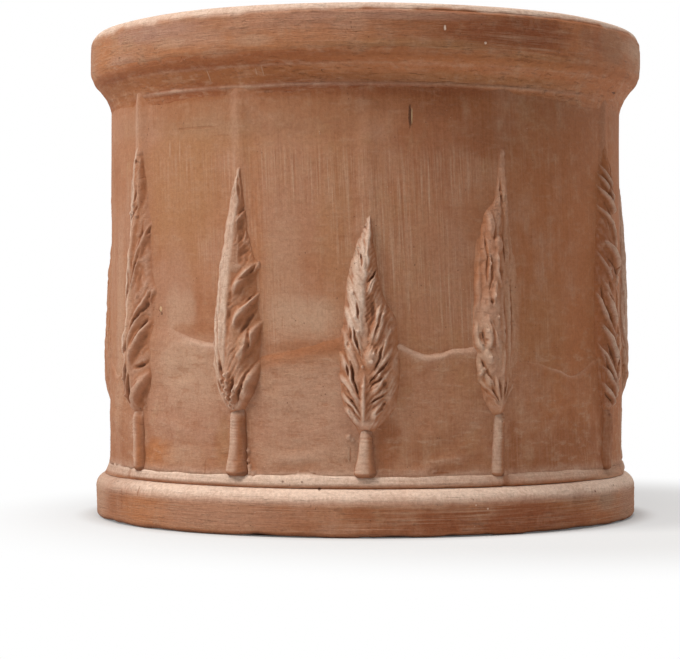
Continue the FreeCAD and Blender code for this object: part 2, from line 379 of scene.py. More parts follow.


# stretches are waves per metre, depths go into the bump, brushTop and brushLow are heights in metres,
# and the rest are strengths
# the dust strength tints dust and painted highlight alike, and the soot strength in hollows tints dirt and
# painted shade alike
wallLook = {
    "strokeStretch": (600.0, 600.0, 11.0), "finerStretch": (1250.0, 1250.0, 26.0), "lean": 0.22, "edge": 0.8,
    "wispStretch": (30.0, 30.0, 640.0), "tearStretch": (70.0, 70.0, 800.0),
    "strokeDepth": 0.5, "wispDepth": 0.15, "tearDepth": 0.0, "brushTop": 0.290, "brushLow": 0.142,
    "ochre": 0.5, "pink": 0.55, "orange": 0.3, "streaks": 0.70,
    "wisps": 0.05, "tears": 0.0, "mottle": 0.22, "rust": 0.55,
    "dust": 0.85, "crestTone": "dust", "shadeAndDirt": 0.5, "bump": 0.6, "stains": stains, "marks": wallMarks,
    "scrapeStretch": (70.0, 70.0, 210.0), "scrapes": 0.32, "scrapeDepth": 2.4, "sandy": 0.85,
}
rimLook = {
    "strokeStretch": (13.0, 13.0, 420.0), "finerStretch": (34.0, 34.0, 900.0), "lean": 0.0, "edge": 1.2,
    "wispStretch": (70.0, 70.0, 1300.0), "tearStretch": (130.0, 130.0, 1050.0),
    "strokeDepth": 0.8, "wispDepth": 0.5, "tearDepth": 0.7, "brushTop": 0.6, "brushLow": -1.0,
    "ochre": 0.5, "pink": 0.5, "orange": 0.75, "streaks": 0.45,
    "wisps": 0.20, "tears": 0.07, "mottle": 0.25, "rust": 0.4,
    "dust": 1.0, "crestTone": "dust", "shadeAndDirt": 0.75, "bump": 0.8, "marks": rimMarks,
    "scrapeStretch": (70.0, 70.0, 190.0), "scrapes": 0.35, "scrapeDepth": 2.0, "sandy": 0.8,
    "stains": [
        (-66, 362, 34, 14, "orange", 0.75),
        (-30, 358, 60, 7, "orange", 0.5),
        (-46, 374, 50, 8, "mauve", 0.85),
        (-12, 370, 44, 12, "mauve", 0.35),
        (-10, 362, 60, 8, "orange", 0.5),
        (-58, 356, 22, 6, "pink", 0.8),
        (-22, 361, 16, 4, "pale", 0.5),
        (-40, 364, 18, 4, "pale", 0.45),
        (-34, 366, 22, 7, "pink", 0.7),
        (40, 368, 110, 34, "rust", 0.8),
        (22, 371, 66, 16, "deep", 0.9),
        (28, 369, 46, 13, "burnt", 0.95),
        (52, 370, 12, 12, "burnt", 0.5),
        (6, 378, 70, 4, "mauve", 0.6),
        (36, 369, 26, 12, "burnt", 0.6),
        (58, 369, 20, 15, "grey", 0.4),
        (58, 368, 18, 12, "umber", 0.4),
        (48, 372, 9, 8, "soot", 0.35),
        (70, 371, 26, 9, "pale", 0.6),
        (77, 367, 20, 12, "pale", 0.6),
        (74, 361, 12, 6, "orange", 0.5),
        (10, 356, 70, 5, "ochre", 0.7),
        (120, 368, 50, 10, "mauve", 0.7),
        (-150, 364, 50, 10, "orange", 0.6),
        (152, 366, 44, 11, "burnt", 0.5),
        (-112, 371, 44, 10, "burnt", 0.5),
    ],
}
coveLook = {
    "strokeStretch": (14.0, 14.0, 300.0), "finerStretch": (40.0, 40.0, 700.0), "lean": 0.0, "edge": 1.0,
    "wispStretch": (90.0, 90.0, 500.0), "tearStretch": (110.0, 110.0, 500.0),
    "strokeDepth": 0.5, "wispDepth": 0.5, "tearDepth": 0.7, "brushTop": 0.6, "brushLow": -1.0,
    "ochre": 0.9, "pink": 0.15, "orange": 0.5, "streaks": 0.25,
    "wisps": 0.14, "tears": 0.22, "mottle": 0.25, "rust": 0.55,
    "dust": 0.5, "crestTone": "dust", "shadeAndDirt": 0.7, "bump": 0.8, "marks": coveMarks,
    "scrapeStretch": (70.0, 70.0, 190.0), "scrapes": 0.6, "scrapeDepth": 2.4, "sandy": 0.75,
    "stains": [
        (0, 340, 1400, 22, "rust", 0.7),
        (-40, 338, 170, 15, "umber", 0.8),
        (0, 332, 150, 8, "umber", 0.7),
        # painted shade under the cove's lip
        (-2, 330, 90, 7, "burnt", 0.6),
        (-10, 325, 150, 7, "burnt", 0.75),
        (-44, 327, 110, 8, "umber", 0.8),
        (-74, 336, 70, 16, "umber", 0.9),
        # painted shadow under the rim's lower edge
        (-30, 348, 150, 5, "burnt", 0.65),
        (-68, 347, 40, 5, "burnt", 0.5),
        # painted shade under the cove's lip
        (-74, 334, 60, 8, "umber", 0.5),
        (-80, 328, 40, 10, "burnt", 0.5),
        (-42, 328, 60, 8, "burnt", 0.6),
        (-2, 327, 80, 10, "burnt", 0.5),
        (32, 349, 44, 5, "ochre", 0.7),
        (20, 334, 120, 5, "ochre", 0.5),
        (20, 347, 120, 4, "orange", 0.5),
    ],
}
footLook = {
    "strokeStretch": (9.0, 9.0, 520.0), "finerStretch": (22.0, 22.0, 950.0), "lean": 0.0, "edge": 1.0,
    "wispStretch": (16.0, 16.0, 1300.0), "tearStretch": (90.0, 90.0, 1000.0),
    "strokeDepth": 0.9, "wispDepth": 0.8, "tearDepth": 0.8, "brushTop": 0.6, "brushLow": -1.0,
    "ochre": 0.5, "pink": 0.55, "orange": 0.5, "streaks": 0.50,
    "wisps": 0.36, "tears": 0.08, "mottle": 0.2, "rust": 0.55,
    "dust": 1.2, "crestTone": "bloom", "shadeAndDirt": 0.8, "bump": 0.75, "marks": footMarks,
    "scrapeStretch": (50.0, 50.0, 260.0), "scrapes": 0.35, "scrapeDepth": 1.4, "sandy": 0.85,
    "stains": [
        (-50, 14, 34, 14, "orange", 0.7),
        (-74, 20, 30, 20, "pink", 0.7),
        (-30, 14, 60, 12, "pink", 0.6),
        (40, 14, 90, 26, "rust", 0.9),
        (22, 12, 96, 15, "deep", 0.9),
        (25, 11, 86, 14, "burnt", 0.7),
        (58, 22, 20, 10, "grey", 0.6),
        (70, 18, 24, 18, "pink", 0.7),
        (-75, 18, 26, 18, "pale", 0.45),
        (35, 12, 60, 12, "burnt", 0.4),
        (46, 22, 30, 9, "umber", 0.75),
        (48, 25, 24, 6, "soot", 0.5),
        (-18, 40, 44, 5, "pale", 0.7),
        (118, 13, 50, 12, "burnt", 0.5),
        (158, 16, 40, 14, "orange", 0.6),
        (-148, 14, 50, 13, "pink", 0.7),
        (-108, 13, 44, 12, "burnt", 0.5),
    ],
}
# patches on the trees alone: stains, and painted shade and painted highlight where marked
treeStains = [
    # painted shade on the trunk at 63.5 degrees, which stands out of the key lamp
    (63.5, 64, 16, 26, "deep", 0.75),
    # burnt patches that darken the left part of the tree at 63.5 degrees
    (60.5, 205, 14, 44, "burnt", 0.55),
    (60.5, 150, 12, 24, "burnt", 0.5),
    (60.5, 115, 14, 26, "burnt", 0.45),
    (64, 165, 24, 26, "rust", 0.5),
    (1, 118, 15, 34, "rust", 0.4),
    # pale strips on the left sides of three trees: pale dust and painted highlight from the key lamp's side
    (-3, 195, 10, 36, "pale", 0.5),
    (-30, 190, 9, 90, "pale", 0.5),
    (-58.5, 190, 9, 100, "pale", 0.45),
    (-52.5, 200, 9, 60, "pink", 0.8),
    (30.5, 180, 9, 80, "pale", 0.35),
    (25, 190, 8, 40, "rust", 0.5),
    (23.5, 140, 6, 26, "pale", 0.6),
]
treeLook = {
    "strokeStretch": (420.0, 420.0, 60.0), "finerStretch": (900.0, 900.0, 110.0), "lean": 0.2, "edge": 0.8,
    "wispStretch": (60.0, 60.0, 700.0), "tearStretch": (160.0, 160.0, 420.0),
    "strokeDepth": 0.6, "wispDepth": 0.4, "tearDepth": 0.6, "brushTop": 0.6, "brushLow": -1.0,
    "ochre": 0.4, "pink": 0.6, "orange": 0.5, "streaks": 0.35,
    "wisps": 0.12, "tears": 0.12, "mottle": 0.25, "rust": 0.55,
    "dust": 0.68, "crestTone": "dust", "shadeAndDirt": 0.74, "bump": 0.75,
    "stains": stains + treeStains, "marks": [],
    "scrapeStretch": (170.0, 170.0, 170.0), "scrapes": 0.2, "scrapeDepth": 0.8, "sandy": 0.65,
}
wallClay = clay("wallClay", wallLook)
rimClay = clay("rimClay", rimLook)
coveClay = clay("coveClay", coveLook)
footClay = clay("footClay", footLook)
treeClay = clay("treeClay", treeLook)
beadClay = clay("beadClay", dict(footLook, dust=1.0, pink=0.8))
print("clay finishes made")


# shaping helpers


def ease(value, low, high):
    share = np.clip((value - low) / (high - low), 0, 1)
    return share * share * (3 - 2 * share)


def lumps(across, upward, seed, wrap=0):
    # smooth value noise from -1 to 1, repeating every wrap cells across
    cellA, cellU = np.floor(across).astype(np.int64), np.floor(upward).astype(np.int64)
    shareA, shareU = across - cellA, upward - cellU
    shareA, shareU = shareA ** 2 * (3 - 2 * shareA), shareU ** 2 * (3 - 2 * shareU)

    # the value at a cell's corner comes from a fixed integer hash
    def corner(a, b):
        a = a % wrap if wrap else a
        mixed = (a * 374761393 + b * 668265263 + seed * 974711) & 0xFFFFFFFF
        mixed = ((mixed ^ (mixed >> 13)) * 1274126177) & 0xFFFFFFFF
        return ((mixed ^ (mixed >> 16)) & 0xFFFF) / 32767.5 - 1

    low = corner(cellA, cellU) * (1 - shareA) + corner(cellA + 1, cellU) * shareA
    high = corner(cellA, cellU + 1) * (1 - shareA) + corner(cellA + 1, cellU + 1) * shareA
    return low * (1 - shareU) + high * shareU


def waves(angle, height, around, tall, seed):
    # noise on the drum: so many lumps around, each about so tall in mm
    return lumps(angle / (2 * math.pi) * around, height / tall, seed, around)


def dented(angle, height, layers):
    # layers of noise on the drum: depth, lumps around, lump height in mm, seed
    total = 0
    for depth, around, tall, seed in layers:
        total = total + depth * waves(angle, height, around, tall, seed)
    return total


def kneaded(across, upward, layers, number):
    # layers of noise on one tree: depth, lump width and height in mm, seed
    total = 0
    for depth, wide, tall, seed in layers:
        total = total + depth * lumps(across / wide, upward / tall, seed + number)
    return total


def turnedOff(angle, middle):
    # how far round the pot from a middle, from half a turn back to half a turn on
    return (angle - middle + math.pi) % (2 * math.pi) - math.pi


def blurred(field, reach):
    # the average over reach cells to all sides
    for axis in (0, 1):
        pad = [(0, 0), (0, 0)]
        pad[axis] = (reach + 1, reach)
        total = np.cumsum(np.pad(field, pad, mode="edge"), axis=axis)
        size = 2 * reach + 1
        if axis == 0:
            field = (total[size:] - total[:-size]) / size
        else:
            field = (total[:, size:] - total[:, :-size]) / size
    return field


def standing(field, reach, scale):
    # how deep a spot lies, and how proud it stands, against the surface round it
    gap = (blurred(blurred(field, reach), reach) - field) / scale
    return np.clip(gap, 0, 1), np.clip(-gap, 0, 1)


def addPiece(name, node, finish, points, faces, marks, sharp=None):
    mesh = bpy.data.meshes.new(name)
    mesh.from_pydata((points * mm).tolist(), [], faces)
    mesh.update()
    mesh.shade_smooth()
    if sharp:
        mesh.set_sharp_from_angle(angle=math.radians(sharp))
    for key, values in marks.items():
        layer = mesh.attributes.new(key, "FLOAT", "POINT")
        layer.data.foreach_set("value", values.ravel().astype(np.float32))
    mesh.materials.append(finish)
    piece = bpy.data.objects.new(name, mesh)
    bpy.context.scene.collection.objects.link(piece)
    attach(piece, "root")
    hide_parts(node)
    return piece


def gridFaces(index):
    ring = [index[:-1, :-1], index[:-1, 1:], index[1:, 1:], index[1:, :-1]]
    return np.stack(ring, -1).reshape(-1, 4).tolist()


def reliefPiece(name, node, finish, angle, height, radius, marks, sharp=None):
    # a patch of clay on the drum, closed by a flat back inside the wall
    points = np.stack([radius * np.sin(angle), -radius * np.cos(angle), height], -1).reshape(-1, 3)
    index = np.arange(radius.size).reshape(radius.shape)
    faces = gridFaces(index)
    faces += np.stack([index[:-1, -1], index[:-1, 0], index[1:, 0], index[1:, -1]], -1).tolist()
    faces += [index[0][::-1].tolist(), index[-1].tolist()]
    return addPiece(name, node, finish, points, faces, marks, sharp)


def turnedPiece(name, node, finish, outline, steps, shaped, sharp=50):
    # a closed outline of (radius, height) turned round the axis, then shaped
    outline = np.array(outline, float)
    angle = np.linspace(0, 2 * math.pi, steps, endpoint=False)[None, :] + np.zeros((len(outline), 1))
    radius, height, marks = shaped(angle, outline[:, :1] + 0 * angle, outline[:, 1:] + 0 * angle)
    points = np.stack([radius * np.sin(angle), -radius * np.cos(angle), height], -1).reshape(-1, 3)
    index = np.arange(radius.size).reshape(radius.shape)
    index = np.concatenate([index, index[:1]], 0)
    index = np.concatenate([index, index[:, :1]], 1)
    return addPiece(name, node, finish, points, gridFaces(index), marks, sharp)


def tracedOutline(corners, pitch):
    # points about every pitch mm along the runs and rounded corners of (radius, height, rounding)
    traced = []
    count = len(corners)
    for i, (r, h, rounding) in enumerate(corners):
        here = np.array([r, h])
        before = np.array(corners[i - 1][:2]) - here
        after = np.array(corners[(i + 1) % count][:2]) - here
        before, after = before / np.linalg.norm(before), after / np.linalg.norm(after)
        half = math.acos(float(np.clip(before @ after, -1, 1))) / 2
        if rounding:
            setback = rounding / math.tan(half)
            middle = here + (before + after) / np.linalg.norm(before + after) * rounding / math.sin(half)
            start, end = here + before * setback, here + after * setback
            a0 = math.atan2(*(start - middle)[::-1])
            turn = turnedOff(math.atan2(*(end - middle)[::-1]), a0)
            parts = max(3, int(abs(turn) * rounding / pitch) + 1)
            for k in range(parts + 1):
                a = a0 + turn * k / parts
                traced.append(middle + rounding * np.array([math.cos(a), math.sin(a)]))
        else:
            traced.append(here)
    dense = []
    for p, q in zip(traced, traced[1:] + traced[:1]):
        gap = np.linalg.norm(q - p)
        if gap < 1e-6:
            continue
        parts = max(1, int(round(gap / pitch)))
        dense += [p + (q - p) * k / parts for k in range(parts)]
    return dense


def ringPiece(name, node, finish, shape, shaped):
    outline = tracedOutline(shape["corners"], shape["pitch"])
    return turnedPiece(name, node, finish, outline, shape["steps"], shaped)


# wall of the drum

treeTurns = np.radians(np.array(pot["treeAngles"]))
wallShape = {
    "steps": 640, "bottom": 26.5, "top": 350.5, "outerPitch": 1.35, "innerPitch": 9.0, "inset": 0.35,
    "swellRise": 1.2, "swellHalf": 23, "swellFrom": (55, 110), "swellTo": (200, 300),
    "uneven": [(0.45, 14, 110, 3), (0.22, 46, 60, 5)], "brushed": [(0.10, 310, 70, 11), (0.06, 200, 25, 12)],
    "thrown": [(0.5, 6, 14, 21), (0.4, 24, 40, 22)], "faded": [(0.25, 120, 14, 23)],
    # ribs from the tree tips up to the cove: offset across, half width, rise, tree tip height
    "ribs": [
        (0.6, 8.0, 0.7, 230.0), (4.5, 8.0, 0.9, 279.0), (1.0, 9.0, 1.6, 290.0), (0.6, 9.0, 1.2, 267.0),
        (0.6, 8.0, 0.7, 230.0), (4.5, 8.0, 1.2, 279.0), (-1.0, 9.0, 2.2, 288.0), (0.6, 9.0, 1.6, 267.0),
        (0.6, 8.0, 0.7, 230.0), (4.5, 8.0, 1.2, 279.0), (-1.0, 10.0, 2.8, 288.0), (0.6, 9.0, 1.6, 267.0),
    ],
}


def ribs(angle, height):
    # a soft rib above every tree, and the painted highlight on its left side, turned to the key lamp
    rise, pale = 0 * angle, 0 * angle
    for turn, (shift, half, high, tip) in zip(treeTurns, wallShape["ribs"]):
        off = turnedOff(angle, turn) * pot["drumRadius"] - shift
        rise = rise + high * np.exp(-np.abs(off / (0.7 * half)) ** 2.6) * ease(height, tip - 60, tip - 10)
        leftSide = np.exp(-((off + 0.45 * half) / (0.5 * half)) ** 2)
        pale = pale + 0.13 * high * leftSide * ease(height, tip - 30, tip + 4)
    return rise, pale


def swell(angle, height):
    # the wall rises a little round every tree, and in a rib above it
    total = ribs(angle, height)[0]
    upright = ease(height, *wallShape["swellFrom"]) * (1 - ease(height, *wallShape["swellTo"]))
    for turn in treeTurns:
        off = turnedOff(angle, turn) * pot["drumRadius"]
        total = total + wallShape["swellRise"] * np.exp(-(off / wallShape["swellHalf"]) ** 2) * upright
    return total


def wallSurface(angle, height):
    # radius of the drum's outside, which everything laid on it starts from
    uneven = dented(angle, height, wallShape["uneven"])
    return pot["drumRadius"] - wallShape["inset"] + uneven + swell(angle, height)


def makeWall(shape):
    low, high = shape["bottom"], shape["top"]
    outer = [(pot["drumRadius"], h) for h in np.arange(low, high, shape["outerPitch"])]
    inner = [(pot["innerRadius"], h) for h in np.arange(high, low - 0.1, -shape["innerPitch"])]

    def shaped(angle, radius, height):
        outside = radius > (pot["drumRadius"] + pot["innerRadius"]) / 2
        skin = wallSurface(angle, height) + dented(angle, height, shape["brushed"])
        cavity = pot["innerRadius"] + dented(angle, height, shape["thrown"])
        made = np.where(outside, skin, cavity)
        # the crest on the wall is only this painted highlight on the ribs
        faded = 0.75 + dented(angle, height, shape["faded"])
        crest = np.clip(ribs(angle, height)[1] * faded, 0, 0.7)
        return made, height, {"crest": np.where(outside, crest, 0)}

    return turnedPiece("wallSkin", "drum_wall", wallClay, outer + inner, shape["steps"], shaped)


makeWall(wallShape)
print("wall made")


# rim, cove, foot ring, bead and floor
# pairs of numbers are the radii, heights, sines or cosines over which a form or a mark sets in

rimShape = {
    "steps": 720, "pitch": 1.1, "limit": 224.8, "middle": 367, "bulge": 0.9, "bulgeHalf": 16,
    "groove": 381.8, "wornEdge": 382.1,
    "face": (214, 222), "lipFace": (205, 216), "bottomEdge": (356, 350), "topEdge": (380, 387),
    "lip": (381.6, 385.2), "underside": (353.5, 351), "wornSine": (-0.4, 0.1), "filledSine": (0.55, 0.85),
    "dents": [(0.35, 22, 30, 31), (0.22, 90, 9, 32), (0.16, 40, 2.4, 33)], "insideDents": [(0.3, 30, 20, 34)],
    "sag": [(0.5, 60, 40, 35), (0.3, 170, 40, 38)], "lift": [(0.3, 26, 50, 36)],
    "ragged": [(1.0, 70, 90, 37), (0.7, 190, 90, 39)], "patchy": [(1.0, 40, 90, 40)],
    "corners": [
        (184.2, 351.0, 0), (225.0, 351.0, 6.0), (225.0, 380.4, 2.0), (223.9, 382.0, 0.8),
        (224.0, 383.0, 0.9), (222.4, 387.8, 5.0), (184.2, 387.8, 10.0),
    ],
}


def makeRim(shape):
    def shaped(angle, radius, height):
        level = 0 * height
        face = ease(radius, *shape["face"])
        bulge = shape["bulge"] * ((height - shape["middle"]) / shape["bulgeHalf"]) ** 2
        made = radius - face * (0.3 + dented(angle, height, shape["dents"]) + bulge)
        made = made + (1 - face) * dented(angle, height, shape["insideDents"])
        sag = ease(height, *shape["bottomEdge"]) * dented(angle, height, shape["sag"])
        lift = -ease(height, *shape["topEdge"]) * (0.35 + dented(angle, height, shape["lift"]))
        # the groove under the lip comes and goes, and is rubbed away on the left
        ragged = dented(angle, level, shape["ragged"])
        worn = 1 - ease(np.sin(angle), *shape["wornSine"])
        groove = np.exp(-((height - shape["groove"] - 0.6 * ragged) / 1.2) ** 2) * face
        groove = groove * np.clip(0.35 + 0.65 * ragged, 0.0, 1)
        groove = groove * (1 - 0.9 * worn) * (1 - 0.7 * ease(np.sin(angle), *shape["filledSine"]))
        filled = 0.7 * worn * np.exp(-((height - shape["wornEdge"]) / 1.1) ** 2) * face
        made = np.minimum(made + filled, shape["limit"])
        lipFrom, lipTo = shape["lip"]
        lip = ease(height, lipFrom + 1.4 * ragged - 3.0 * worn, lipTo + 1.0 * ragged)
        lip = lip * ease(radius, *shape["lipFace"])
        patchy = ease(dented(angle, level, shape["patchy"]), 0, 0.7)
        under = 0.3 * ease(height, *shape["underside"]) * patchy * face
        marks = {"hollow": np.clip(groove * 1.1 - 0.3, 0, 1), "crest": np.clip(lip + under, 0, 1)}
        return made - 0.3 * groove, height + sag + lift, marks

    return ringPiece("rimRing", "rim_band", rimClay, shape, shaped)


coveShape = {
    "steps": 720, "pitch": 0.9, "lip": 329.8, "line": 343.9, "shade": 348.5,
    "face": (207, 209), "lipCosine": (0.40, 0.80),
    "dents": [(0.35, 18, 40, 41), (0.2, 70, 12, 42)],
    "broken": [(0.4, 34, 60, 44)], "drop": [(0.5, 50, 60, 43)],
    "corners": [
        (206.0, 321.0, 0), (207.2, 321.0, 0.3), (208.0, 326.0, 8.0), (209.3, 331.0, 8.0), (212.2, 337.5, 9.0),
        (216.0, 342.8, 1.6), (216.9, 343.9, 0.9), (217.6, 345.0, 0.9), (221.6, 349.0, 9.0), (223.9, 355.0, 0),
        (206.0, 355.0, 0),
    ],
}


def makeCove(shape):
    def shaped(angle, radius, height):
        face = ease(radius, *shape["face"])
        dents = dented(angle, height, shape["dents"])
        broken = np.clip(0.8 + dented(angle, 0 * height, shape["broken"]), 0.1, 1)
        keep = ease(np.abs(np.cos(angle)), *shape["lipCosine"]) * broken
        lip = np.exp(-((height - shape["lip"]) / 1.4) ** 2) * face
        line = np.exp(-((height - shape["line"]) / 1.0) ** 2) * face
        shade = np.exp(-((height - shape["shade"]) / 2.5) ** 2) * face
        drop = lip * dented(angle, height, shape["drop"])
        marks = {"crest": np.clip((0.8 * lip + 0.35 * line) * keep, 0, 1), "hollow": 0.3 * shade}
        return radius - face * (0.2 + dents) + lip * keep * 1.2, height + drop, marks

    return ringPiece("coveRing", "rim_cove", coveClay, shape, shaped)


footShape = {
    "steps": 720, "pitch": 1.0, "limit": 220.4, "liftLimit": 4, "face": (209, 212), "edgeFace": (208, 214),
    "edge": (7, 0), "dust": (21, 32), "shadeAndDirt": (4.5, 0.6), "wornSine": (-0.7, -0.95),
    "dents": [(0.35, 20, 30, 51), (0.2, 80, 10, 52), (0.14, 30, 2.2, 53)],
    "chipped": [(0.4, 70, 50, 54)], "nibbled": [(1.0, 150, 50, 57)],
    "dusty": [(0.1, 60, 20, 55)], "shadeWander": [(1.5, 60, 50, 56)],
    "corners": [(206.5, 0.0, 0), (219.8, 0.0, 4.2), (220.3, 34.6, 10.6), (206.5, 35.2, 0)],
    # chipped and lifted stretches of the bottom edge: angle, half width in degrees, lift in mm
    "chips": [
        (-66, 4, 1.4), (-58, 3, 1.0), (-18, 7, 1.6), (-44, 4, 0.8), (4, 5, 0.8), (20, 6, 0.9), (48, 8, 1.0),
        (100, 10, 2.0), (170, 8, 1.8), (215, 12, 2.2), (260, 6, 1.5),
    ],
}


def makeFoot(shape):
    def shaped(angle, radius, height):
        level = 0 * height
        face = ease(radius, *shape["face"])
        made = radius - face * (0.2 + dented(angle, height, shape["dents"]))
        made = np.minimum(made, shape["limit"])
        lift = level
        for turn, half, rise in shape["chips"]:
            off = np.degrees(turnedOff(angle, math.radians(turn)))
            lift = lift + rise * np.exp(-(off / half) ** 2)
        lift = lift * (0.8 + dented(angle, level, shape["chipped"]))
        lift = lift + 0.8 * np.clip(dented(angle, level, shape["nibbled"]), 0, 1)
        edge = ease(height, *shape["edge"]) * ease(radius, *shape["edgeFace"])
        crest = ease(height, *shape["dust"]) * (0.9 + dented(angle, height, shape["dusty"]))
        crest = crest * (1 - 0.5 * ease(np.sin(angle), *shape["wornSine"]))
        # painted shade, with some dirt, along the bottom edge where the foot meets the floor
        shadeTop, shadeFull = shape["shadeAndDirt"]
        under = ease(height, shadeTop + dented(angle, level, shape["shadeWander"]), shadeFull) * face
        marks = {"crest": np.clip(crest, 0, 1), "hollow": 0.95 * under}
        return made, height + np.clip(lift, 0, shape["liftLimit"]) * edge, marks

    return ringPiece("footRing", "foot_ring", footClay, shape, shaped)


beadShape = {
    "steps": 720, "pitch": 0.6, "bottom": 35.0, "nickRadius": 212, "wornRadius": 208.2, "wornFlare": 5.5,
    "face": (207.5, 209.5), "crestFrom": (35.8, 39.0), "crestTo": (48.5, 44), "brighter": (40.5, 43),
    "shadedSine": (0.0, 0.45),
    "dents": [(0.3, 26, 30, 61), (0.18, 90, 8, 62)],
    "corners": [
        (206.5, 35.0, 0), (211.0, 35.0, 0.8), (213.0, 38.4, 2.6), (211.4, 42.8, 2.4), (209.0, 45.2, 3.0),
        (208.2, 50.0, 0), (206.5, 50.0, 0),
    ],
    # nicks pressed into the bead: angle, half width in mm, depth
    "nicks": [(29.4, 3.0, 1.6), (-60, 3, 1.0), (75, 3, 1.0), (148, 3, 1.2), (243, 3, 1.0)],
    # stretches where it is rubbed away into the wall: angle, half width in degrees
    "worn": [(-77, 19), (68, 12), (135, 10), (215, 14)],
}


def makeBead(shape):
    def shaped(angle, radius, height):
        face = ease(radius, *shape["face"])
        dents = dented(angle, height, shape["dents"])
        nick, worn = 0 * angle, 0 * angle
        for turn, half, depth in shape["nicks"]:
            off = turnedOff(angle, math.radians(turn)) * shape["nickRadius"]
            nick = nick + depth * np.exp(-(off / half) ** 2)
        for turn, half in shape["worn"]:
            off = np.degrees(turnedOff(angle, math.radians(turn)))
            worn = np.maximum(worn, np.exp(-(off / half) ** 4))
        groove = np.exp(-((height - shape["bottom"]) / 0.6) ** 2) * face * (1 - worn)
        crest = ease(height, *shape["crestFrom"]) * ease(height, *shape["crestTo"]) * face
        # the pale paint is worn away in stretches, fades toward the right as painted shade, and is brighter
        # at the bead's top as painted highlight
        wearAndLight = 1 - 0.35 * worn - 0.45 * ease(np.sin(angle), *shape["shadedSine"])
        wearAndLight = (0.8 + 0.2 * ease(height, *shape["brighter"])) * wearAndLight
        marks = {"crest": crest * wearAndLight, "hollow": np.clip(0.4 * groove + nick * 0.25, 0, 1)}
        flat = shape["wornRadius"] + shape["wornFlare"] * np.exp(-(height - shape["bottom"]) / 6)
        made = radius - (0.3 + dents + nick) * face
        return made + (flat - made) * worn * 0.85 * face, height, marks

    return ringPiece("footBead", "foot_bead", beadClay, shape, shaped)


floorShape = {
    "steps": 240, "pitch": 3.0, "thrown": [(0.5, 12, 16, 71), (0.25, 40, 6, 72)],
    "top": (20, 27), "drainEdge": (20, 30), "drainDirt": (40, 18),
    "corners": [(18.2, 0.3, 2.0), (207.8, 0.3, 0), (207.8, 28.0, 0), (18.2, 28.0, 4.0)],
}


def makeFloor(shape):
    def shaped(angle, radius, height):
        top = ease(height, *shape["top"])
        lift = top * np.clip(dented(angle, radius, shape["thrown"]) - 0.4, -1.2, 0)
        marks = {"hollow": 0.25 * ease(radius, *shape["drainDirt"]) * top}
        return radius, height + lift * ease(radius, *shape["drainEdge"]), marks

    return ringPiece("floorDisc", "floor_slab", wallClay, shape, shaped)


makeRim(rimShape)
makeCove(coveShape)
makeFoot(footShape)
makeBead(beadShape)
makeFloor(floorShape)
print("turned rings made")


# hill panels with their wavy ledge

hillShape = {
    "thickness": 1.9, "lip": 0.5, "bottom": 43.0, "tuck": 1.4, "columns": 118, "rows": 116, "rounding": 37,
    "fillet": 1.0, "filletHeight": 4.0, "dust": (51, 44),
    "uneven": [(0.5, 60, 26, 91), (0.24, 170, 9, 92)],
    "glow": [(0.2, 200, 4, 93)], "dusty": [(0.25, 90, 20, 94)], "foldWander": [(2.2, 70, 22, 95)],
    # ledge heights from tree to tree, how soft the ledge is there, how strong the painted highlight on it is,
    # and how much it stands out
    "ledges": {
        1: ([150, 143.4, 132.4, 134.6, 139.6, 141], [4, 2.0, 2.6, 2.2, 3.0, 3.4],
            [0.3, 0.7, 1.0, 0.6, 1.0, 1.0], 1.0),
        2: ([133, 128.1, 123.5, 112.5, 127.3, 135], [4, 3, 2.0, 1.6, 2.2, 4],
            [0, 0.25, 0.4, 0.6, 0.3, 0], 0.5),
        11: ([154, 152.5, 150.5, 144.5, 139.4, 136], [9, 9, 7, 2.4, 1.8, 1.8],
             [0, 0.1, 0.2, 0.5, 0.8, 0.9], 0.9),
        12: ([131, 132.3, 136, 139.7, 146, 152], [6, 5, 5, 5, 5, 5], [0, 0, 0, 0, 0, 0.1], 0.4),
    },
    # pellets of clay left on the wall: angle, height, radius, rise
    "crumbs": [
        (-53.5, 154.5, 2.0, 2.4), (-24.4, 62, 1.6, 2.2), (-24.4, 54.8, 1.3, 1.8), (-24.1, 50.6, 1.8, 2.2),
        (-24.0, 47.0, 1.8, 2.0), (-23.2, 45.0, 2.2, 2.0), (13.8, 47.5, 1.8, 1.2), (-3.3, 72.6, 2.0, 2.0),
        (-2.5, 70.6, 1.5, 1.6), (33.2, 57, 1.2, 1.0), (-55.6, 60, 1.5, 1.6),
    ],
    # creases in the panels: from angle and height to angle and height, half width in mm, rise
    "folds": [
        (8, 44, 23, 60, 4.5, 1.44), (12, 58, 24, 84, 6, -0.96), (35, 62, 46, 96, 6, 1.28),
        (48, 54, 58, 70, 5, -1.12), (-22, 52, -8, 62, 5, 1.28), (-20, 92, -8, 84, 6, -0.96),
        (-52, 84, -36, 74, 6, 1.12), (-46, 112, -36, 122, 6, -0.96), (100, 60, 114, 76, 5, 1.28),
        (132, 92, 142, 70, 6, -1.12), (190, 56, 200, 78, 5, 1.28), (218, 96, 232, 84, 6, 1.12),
        (250, 58, 262, 70, 5, -1.12), (280, 88, 294, 72, 6, 1.28),
    ],
}
# the panels that aren't listed take these in turn
spareLedges = [hillShape["ledges"][number] for number in (1, 2, 11, 12)]


def foldRise(angle, height, fold):
    fromTurn, fromHeight, toTurn, toHeight, wide, rise = fold
    across = turnedOff(angle, math.radians(fromTurn)) * pot["drumRadius"]
    upward = height - fromHeight
    runA, runU = math.radians(toTurn - fromTurn) * pot["drumRadius"], toHeight - fromHeight
    span = math.hypot(runA, runU)
    along = (across * runA + upward * runU) / span ** 2
    aside = (across * runU - upward * runA) / span
    aside = aside + dented(angle, height, hillShape["foldWander"])
    return rise * np.exp(-(aside / wide) ** 2) * ease(along, -0.1, 0.35) * ease(along, 1.1, 0.65)


